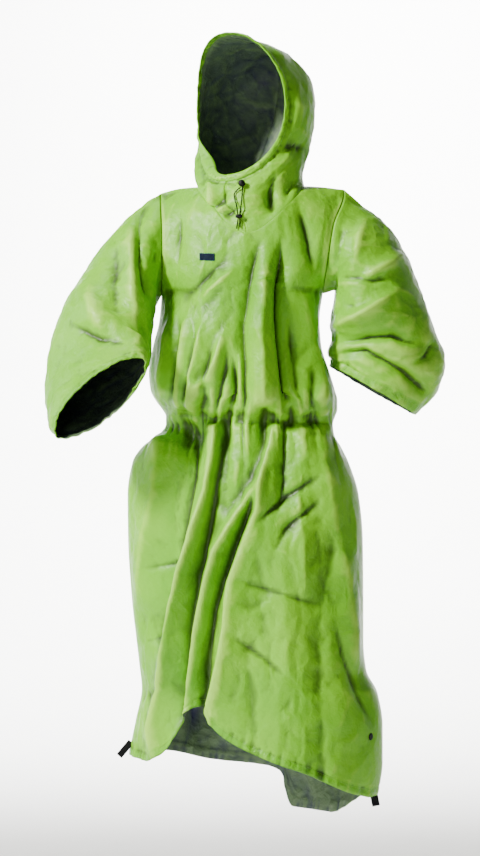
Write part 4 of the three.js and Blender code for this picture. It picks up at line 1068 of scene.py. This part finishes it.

# The stopper is a ball in two halves with a groove between them
ball = [(0, -STOPPER_RADIUS)]
for step in range(1, 24):
    angle = (step / 24 - 0.5) * math.pi
    groove = 0.45 * math.exp(-((step - 15) / 0.8) ** 2)
    ball.append(((STOPPER_RADIUS - groove) * math.cos(angle), (STOPPER_RADIUS - groove) * math.sin(angle)))
ball.append((0, STOPPER_RADIUS))
stopper = turned_piece("cord_stopper", ball, (0, -0.35, 1), STOPPER, black_plastic)
barrel = [(0, -6), (1.7, -6), (2.1, -5.6), (3.1, -4.1), (3.35, -3.4), (3.15, -3), (3.5, -2.4), (3.6, 0),
          (3.5, 2.4), (3.15, 3), (3.35, 3.4), (3.1, 4.1), (2.1, 5.6), (1.7, 6), (0, 6)]
toggle = turned_piece("cord_barrel", barrel, (1, 0, 0), TOGGLE, black_plastic)

# Cloth grids
front_plain = body_grid("front", FRONT_NECK_COLUMNS)
back_plain = body_grid("back", BACK_NECK_COLUMNS)
ROWS = front_plain.shape[0]
row_units = np.concatenate([
    np.linspace(0, 10, YOKE_STEPS + 1),
    10 + np.linspace(0, 12, BLOUSE_STEPS + 1)[1:],
    22 + np.linspace(0, 18, SKIRT_STEPS + 1)[1:],
])


def body_keep(grid, neck_columns):
    """Folds fade out at the sewn edges, which stay where the neighbouring pieces meet them."""
    columns = grid.shape[1]
    from_side = np.minimum(np.arange(columns), columns - 1 - np.arange(columns)) / 4
    return smooth(row_units / 1.6)[:, None] * smooth(from_side / 1.6)[None, :]


def dressed_body(plain, neck_columns, outward_sign, seed):
    normals = grid_normals(plain, False, outward_sign)
    height = facing_folds(plain, normals, "body")
    height += waist_gathers(plain, seed)
    height += crinkles(plain, (1, 1, 1.7), seed + 2)
    keep = body_keep(plain, neck_columns)
    return raise_cloth(plain, normals, height * keep)


front = dressed_body(front_plain, FRONT_NECK_COLUMNS, -1, 11)
back = dressed_body(back_plain, BACK_NECK_COLUMNS, 1, 31)
FRONT_NECK = slice(SHOULDER_COLUMNS, SHOULDER_COLUMNS + FRONT_NECK_COLUMNS + 1)
neck_loop = np.concatenate([
    front[0, FRONT_NECK],
    back[0, SHOULDER_COLUMNS + 1:SHOULDER_COLUMNS + BACK_NECK_COLUMNS][::-1],
])
LOOP = len(neck_loop)
THROAT = FRONT_NECK_COLUMNS // 2
CROWN = THROAT + LOOP // 2


def neck_angles():
    yaw = math.radians(HOOD["yaw"][0])
    x, y = neck_loop[:, 0] - HOOD_CENTRE_X, neck_loop[:, 1]
    aside = x * math.cos(yaw) - y * math.sin(yaw)
    ahead = -x * math.sin(yaw) - y * math.cos(yaw)
    angle = np.arctan2(aside / HOOD["half"][0], ahead / HOOD["throat"][0])
    return np.where((np.arange(LOOP) > THROAT) & (angle < 0), angle + 2 * math.pi, angle)


NECK_ANGLES = neck_angles()
front_half = math.radians(HOOD_FRONT_HALF)
index = np.arange(LOOP)
EVEN_ANGLES = np.where(
    index <= FRONT_NECK_COLUMNS,
    mix(-front_half, front_half, index / FRONT_NECK_COLUMNS),
    mix(front_half, 2 * math.pi - front_half, (index - FRONT_NECK_COLUMNS) / BACK_NECK_COLUMNS),
)


def hood_angles(at):
    return mix(NECK_ANGLES, EVEN_ANGLES, smooth(at / EVEN_FROM))


def armhole_loop(edge):
    return np.concatenate([front[:YOKE_STEPS + 1, edge], back[1:YOKE_STEPS, edge][::-1]])


ARM_ANGLES = np.arange(2 * YOKE_STEPS) / (2 * YOKE_STEPS) * 2 * math.pi


def dressed_tube(plain, name, outward_sign, stretch, seed, strength, fade, end_fade=0):
    """A sleeve or the hood with its folds. They fade over the first rows, at the seam, and over
    the last ones where end_fade is given."""
    normals = grid_normals(plain, True, outward_sign)
    height = facing_folds(plain, normals, name) + crinkles(plain, stretch, seed, strength)
    keep = smooth(np.arange(len(plain)) / fade)
    if end_fade:
        keep = keep * smooth(np.arange(len(plain))[::-1] / end_fade)
    return raise_cloth(plain, normals, height * keep[:, None])


sleeve_places = np.linspace(0, 1, SLEEVE_STEPS + 1)
right_sleeve = dressed_tube(
    tube_grid(armhole_loop(0), sleeve_places, lambda at, angle: sleeve_point(RIGHT_SLEEVE, at, angle),
              lambda at: ARM_ANGLES, 0.5),
    "sleeveRight", -1, (1, 1, 1.3), 51, 1.1, 9)
left_sleeve = dressed_tube(
    tube_grid(armhole_loop(-1), sleeve_places, lambda at, angle: sleeve_point(LEFT_SLEEVE, at, angle),
              lambda at: ARM_ANGLES, 0.5),
    "sleeveLeft", 1, (1.3, 1, 0.9), 71, 1.2, 9)
hood_places = np.linspace(0, CHANNEL_START + 0.012, HOOD_STEPS + 1)
hood = dressed_tube(
    tube_grid(neck_loop, hood_places, hood_point, hood_angles, 0.6),
    "hood", 1, (1, 1, 1), 91, 0.95, 22, 9)
near_channel = np.exp(-((hood_places - CHANNEL_START + 0.02) / 0.03) ** 2)[:, None]
near_channel = near_channel * (hood_places < CHANNEL_START)[:, None]
walked = np.cumsum(np.linalg.norm(np.diff(hood[-1], axis=0, prepend=hood[-1, :1]), axis=1))
along = np.stack([walked, np.zeros(len(walked)), np.zeros(len(walked))], -1)
hood = raise_cloth(hood, grid_normals(hood, True, 1), (ridges(along, 11, 7) - 1.4)[None, :] * near_channel)
channel_places = np.linspace(CHANNEL_START, 1, CHANNEL_STEPS + 1)
channel = np.stack([hood_point(at, hood_angles(at)) for at in channel_places])
channel_normals = grid_normals(channel, True, 1)
roundness = np.sin(np.linspace(0.06, 0.94, CHANNEL_STEPS + 1) * math.pi)
puckers = ridges(channel, 9, 5) * 1.0 + ridges(channel, 19, 6) * 0.9
channel = raise_cloth(channel, channel_normals, (0.9 + puckers) * roundness[:, None])
turned_out = smooth(1 - np.abs(channel[-1, :, 2] - LAPEL_Z) / LAPEL_REACH) * (channel[-1, :, 0] < -40)
across_channel = np.linspace(0, 1, CHANNEL_STEPS + 1)[:, None]
channel = channel + (turned_out[None, :] * across_channel ** 2)[..., None] * np.array(LAPEL_TURN)


def from_hem(grid):
    steps = np.linalg.norm(np.diff(grid[::-1], axis=0), axis=-1)
    walked = np.concatenate([np.zeros((1, grid.shape[1])), np.cumsum(steps, axis=0)])
    return walked[::-1]


def with_hem(grid, closed, outward_sign, seed):
    """Small puckers along the hem's stitching, and the folded hem's greater thickness."""
    distance = from_hem(grid)
    normals = grid_normals(grid, closed, outward_sign)
    band = 1 - smooth((distance - HEM_WIDTH) / 12)
    walked = np.cumsum(np.linalg.norm(np.diff(grid[-1], axis=0, prepend=grid[-1, :1]), axis=1))
    along = np.stack([walked, np.zeros(len(walked)), np.zeros(len(walked))], -1)
    pucker = ridges(along, 9, seed) * 1.1 + ridges(along, 21, seed + 1) * 1.3
    dent = -1.9 * np.exp(-((distance - STITCH_FROM_EDGE - 2) / 3.2) ** 2)
    grid = raise_cloth(grid, normals, (pucker[None, :] + dent) * band)
    thickness = mix(CLOTH, HEM_CLOTH, 1 - smooth((distance - HEM_WIDTH) / 4))
    return grid, thickness


front, front_thickness = with_hem(front, False, -1, 111)
back, back_thickness = with_hem(back, False, 1, 113)
right_sleeve, right_thickness = with_hem(right_sleeve, True, -1, 115)
left_sleeve, left_thickness = with_hem(left_sleeve, True, 1, 117)
for edge in (0, -1):
    joined = (front[:, edge] + back[:, edge]) / 2
    front[:, edge] = joined
    back[:, edge] = joined

grids = {
    "front": (front, grid_normals(front, False, -1)),
    "back": (back, grid_normals(back, False, 1)),
    "right_sleeve": (right_sleeve, grid_normals(right_sleeve, True, -1)),
    "left_sleeve": (left_sleeve, grid_normals(left_sleeve, True, 1)),
    "hood": (hood, grid_normals(hood, True, 1)),
}


def share_seams():
    """Pieces that meet at a seam share its direction across the cloth, so their skins meet."""
    edges = []
    for name in ("front", "back"):
        grid, normals = grids[name]
        edges += [(grid[0], normals[0]), (grid[:, 0], normals[:, 0]), (grid[:, -1], normals[:, -1])]
    for name in ("right_sleeve", "left_sleeve", "hood"):
        grid, normals = grids[name]
        edges.append((grid[0], normals[0]))
    sums = {}
    for points, directions in edges:
        for point, direction in zip(points, directions):
            key = tuple(np.round(point, 2))
            sums[key] = sums.get(key, 0) + direction
    for points, directions in edges:
        for k, point in enumerate(points):
            directions[k] = unit(sums[tuple(np.round(point, 2))])


share_seams()
cloth = [nylon, coating, doubled_nylon]
pieces = {
    "front_cloth": wall("front_cloth", *grids["front"], front_thickness, False, cloth, HEM_ROWS),
    "back_cloth": wall("back_cloth", *grids["back"], back_thickness, False, cloth, HEM_ROWS),
    "right_sleeve_cloth": wall("right_sleeve_cloth", *grids["right_sleeve"], right_thickness, True, cloth, HEM_ROWS),
    "left_sleeve_cloth": wall("left_sleeve_cloth", *grids["left_sleeve"], left_thickness, True, cloth, HEM_ROWS),
}
half = LOOP // 2
for name, start in (("left_hood_cloth", THROAT), ("right_hood_cloth", CROWN)):
    columns = (start + np.arange(half + 1)) % LOOP
    grid, normals = grids["hood"]
    pieces[name] = wall(name, grid[:, columns], normals[:, columns], CLOTH, False, cloth)
channel_thickness = mix(1.2, 4.0, roundness)[:, None] * np.ones(channel.shape[:2])
pieces["face_channel_cloth"] = wall("face_channel_cloth", channel, grid_normals(channel, True, 1),
                                    channel_thickness, True, [nylon, nylon])


def on_cloth(piece, x, z):
    """The first point and normal of the cloth straight behind a place, in the tables' frame."""
    origin = Vector(to_part((x, -2000, z)))
    ahead = Vector((-math.sin(TURN), math.cos(TURN), 0))
    hit, point, normal, _ = piece.ray_cast(origin, ahead)
    back_turn = Matrix.Rotation(-TURN, 3, "Z")
    return np.array(back_turn @ point) / MM, np.array(back_turn @ normal)


# The blank patch on the chest
bpy.context.view_layer.update()
rows = []
for down in np.linspace(6.5, -6.5, 8):
    line = []
    for across in np.linspace(-13.5, 13.5, 15):
        point, normal = on_cloth(pieces["front_cloth"], -72 + across, -117 + down - across * 0.06)
        line.append(point)
    rows.append(line)
patch_grid = np.array(rows)
patch_normals = grid_normals(patch_grid, False, -1)
patch_grid = patch_grid + patch_normals * 0.6
patch = wall("blank_patch", patch_grid, patch_normals, 0.6, False, [patch_weave, patch_weave])

# The snap's cap
SNAP = (216, -963)
seat, seat_normal = on_cloth(pieces["front_cloth"], *SNAP)
cap = [(0, 0), (6.1, 0), (6.4, 0.3), (6.4, 0.8), (6.0, 1.4), (5.2, 1.9), (4.2, 2.1), (3.4, 2.05),
       (2.8, 1.95), (1.6, 1.9), (0, 1.9)]
snap = turned_piece("snap_cap", cap, seat_normal, seat + seat_normal * 0.1, black_plastic)
right_tab = webbing_tab("right_webbing_tab", (-222.5, 43.3, -1001.5, 12, 34, 2.4, 40), black_webbing)
left_tab = webbing_tab("left_webbing_tab", (226, -49, -1079.5, 14, 27, 2.4, -12), black_webbing)

# Stitching along the hems, cuffs, channel and seams
skin = CLOTH / 2 + 0.15
hem_skin = HEM_CLOTH / 2 + 0.1
rows_of = {
    "hem_stitches": [
        inset_line(*grids["front"], "low", STITCH_FROM_EDGE, hem_skin),
        inset_line(*grids["back"], "low", STITCH_FROM_EDGE, hem_skin),
    ],
    "cuff_stitches": [
        inset_line(*grids["right_sleeve"], "low", STITCH_FROM_EDGE, hem_skin),
        inset_line(*grids["left_sleeve"], "low", STITCH_FROM_EDGE, hem_skin),
    ],
    "hood_stitches": [
        inset_line(*grids["hood"], "low", 3.5, skin + 0.2),
        inset_line(*grids["hood"], "top", 3.5, skin),
    ],
    "seam_stitches": [
        inset_line(*grids["front"], "top", 3.5, skin),
        inset_line(*grids["back"], "top", 3.5, skin),
        inset_line(*grids["front"], "left", 3.5, skin),
        inset_line(*grids["front"], "right", 3.5, skin),
        inset_line(*grids["right_sleeve"], "top", 3.5, skin),
        inset_line(*grids["left_sleeve"], "top", 3.5, skin),
    ],
}
for line in rows_of["cuff_stitches"] + rows_of["hood_stitches"]:
    line[-1] = line[0]
sewing = {name: sew(name, lines, thread) for name, lines in rows_of.items()}
border = np.concatenate([patch_grid[0], patch_grid[1:, -1], patch_grid[-1, ::-1][1:], patch_grid[::-1, 0][1:]])
border_normals = np.concatenate([patch_normals[0], patch_normals[1:, -1], patch_normals[-1, ::-1][1:],
                                 patch_normals[::-1, 0][1:]])
centre = patch_grid.mean((0, 1))
border = centre + (border - centre) * 0.93 + border_normals * 0.42
sewing["patch_stitches"] = sew("patch_stitches", [border], patch_thread, 1.6, 1.3, 0.35)

# What each piece stands for, and how it is held
everything = list(pieces.values()) + list(sewing.values())
everything += [patch, snap, stopper, toggle, right_tab, left_tab]
everything += [piece for piece, _ in strands.values()]
for piece in everything:
    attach(piece, "root")
stands_for = {
    "front_cloth": ("front_panel",),
    "back_cloth": ("back_panel",),
    "right_sleeve_cloth": ("sleeve_right",),
    "left_sleeve_cloth": ("sleeve_left",),
    "left_hood_cloth": ("hood_left",),
    "right_hood_cloth": ("hood_right",),
    "face_channel_cloth": ("face_channel",),
}
for name, nodes in stands_for.items():
    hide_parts(*nodes)
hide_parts("label")
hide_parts("snap_left")
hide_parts("stopper")
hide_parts("cord_toggle")
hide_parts("tab_right")
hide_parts("tab_left")
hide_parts("cord_right", "cord_tail_right")
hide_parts("cord_left", "cord_tail_left")


# The floor, which sweeps up into a backdrop
sweep = []
for depth, height in [(-9, 0), (3, 0), (5, 0.05), (6.5, 0.5), (7.4, 1.5), (7.8, 3.2), (7.9, 9)]:
    sweep.append([(-14, depth, height - 1.62), (14, depth, height - 1.62)])
floor_points = [p for pair in sweep for p in pair]
floor_faces = [(2 * k, 2 * k + 1, 2 * k + 3, 2 * k + 2) for k in range(len(sweep) - 1)]
floor = finish_mesh("pale_floor", floor_points, floor_faces, [pale_paper])
smooth_floor = floor.modifiers.new("sweep", "SUBSURF")
smooth_floor.levels = 3
smooth_floor.render_levels = 3


def area_light(name, place, towards, size, power, tint, spread=180):
    data = bpy.data.lights.new(name, "AREA")
    data.shape = "RECTANGLE"
    data.size, data.size_y = size
    data.energy = power
    data.color = tint
    data.spread = math.radians(spread)
    light = bpy.data.objects.new(name, data)
    start, end = Vector(to_part(np.array(place) * 1000)), Vector(to_part(np.array(towards) * 1000))
    light.location = start
    light.rotation_euler = (end - start).to_track_quat("-Z", "Y").to_euler()
    bpy.context.scene.collection.objects.link(light)


area_light("key", (-4.2, -2.7, 2.8), (0, 0, -0.45), (0.8, 1.1), 820, (1.0, 0.99, 0.95))
area_light("rim", (-4.4, 1.6, 1.2), (0, 0, -0.4), (0.8, 2.2), 80, (1.0, 0.99, 0.96))
area_light("front", (-1.2, -4.2, -0.6), (0, 0, -0.3), (1.0, 1.0), 24, (0.98, 0.99, 1.0))
area_light("side", (3.4, 0.2, 1.6), (0, 0, -0.5), (0.8, 2.0), 5, (0.95, 0.98, 1.0))
area_light("top", (-0.9, 0.6, 3.0), (0, 0, -0.2), (1.0, 1.0), 40, (1.0, 1.0, 1.0))
area_light("backdrop", (0, 4.0, 3.2), (0, 7.8, 0.2), (3.0, 1.4), 1500, (1.0, 1.0, 1.0), 130)
world = bpy.data.worlds.new("soft sky") if bpy.context.scene.world is None else bpy.context.scene.world
bpy.context.scene.world = world
world.use_nodes = True
world.node_tree.nodes["Background"].inputs["Color"].default_value = (0.92, 0.95, 1.0, 1)
world.node_tree.nodes["Background"].inputs["Strength"].default_value = 0.07
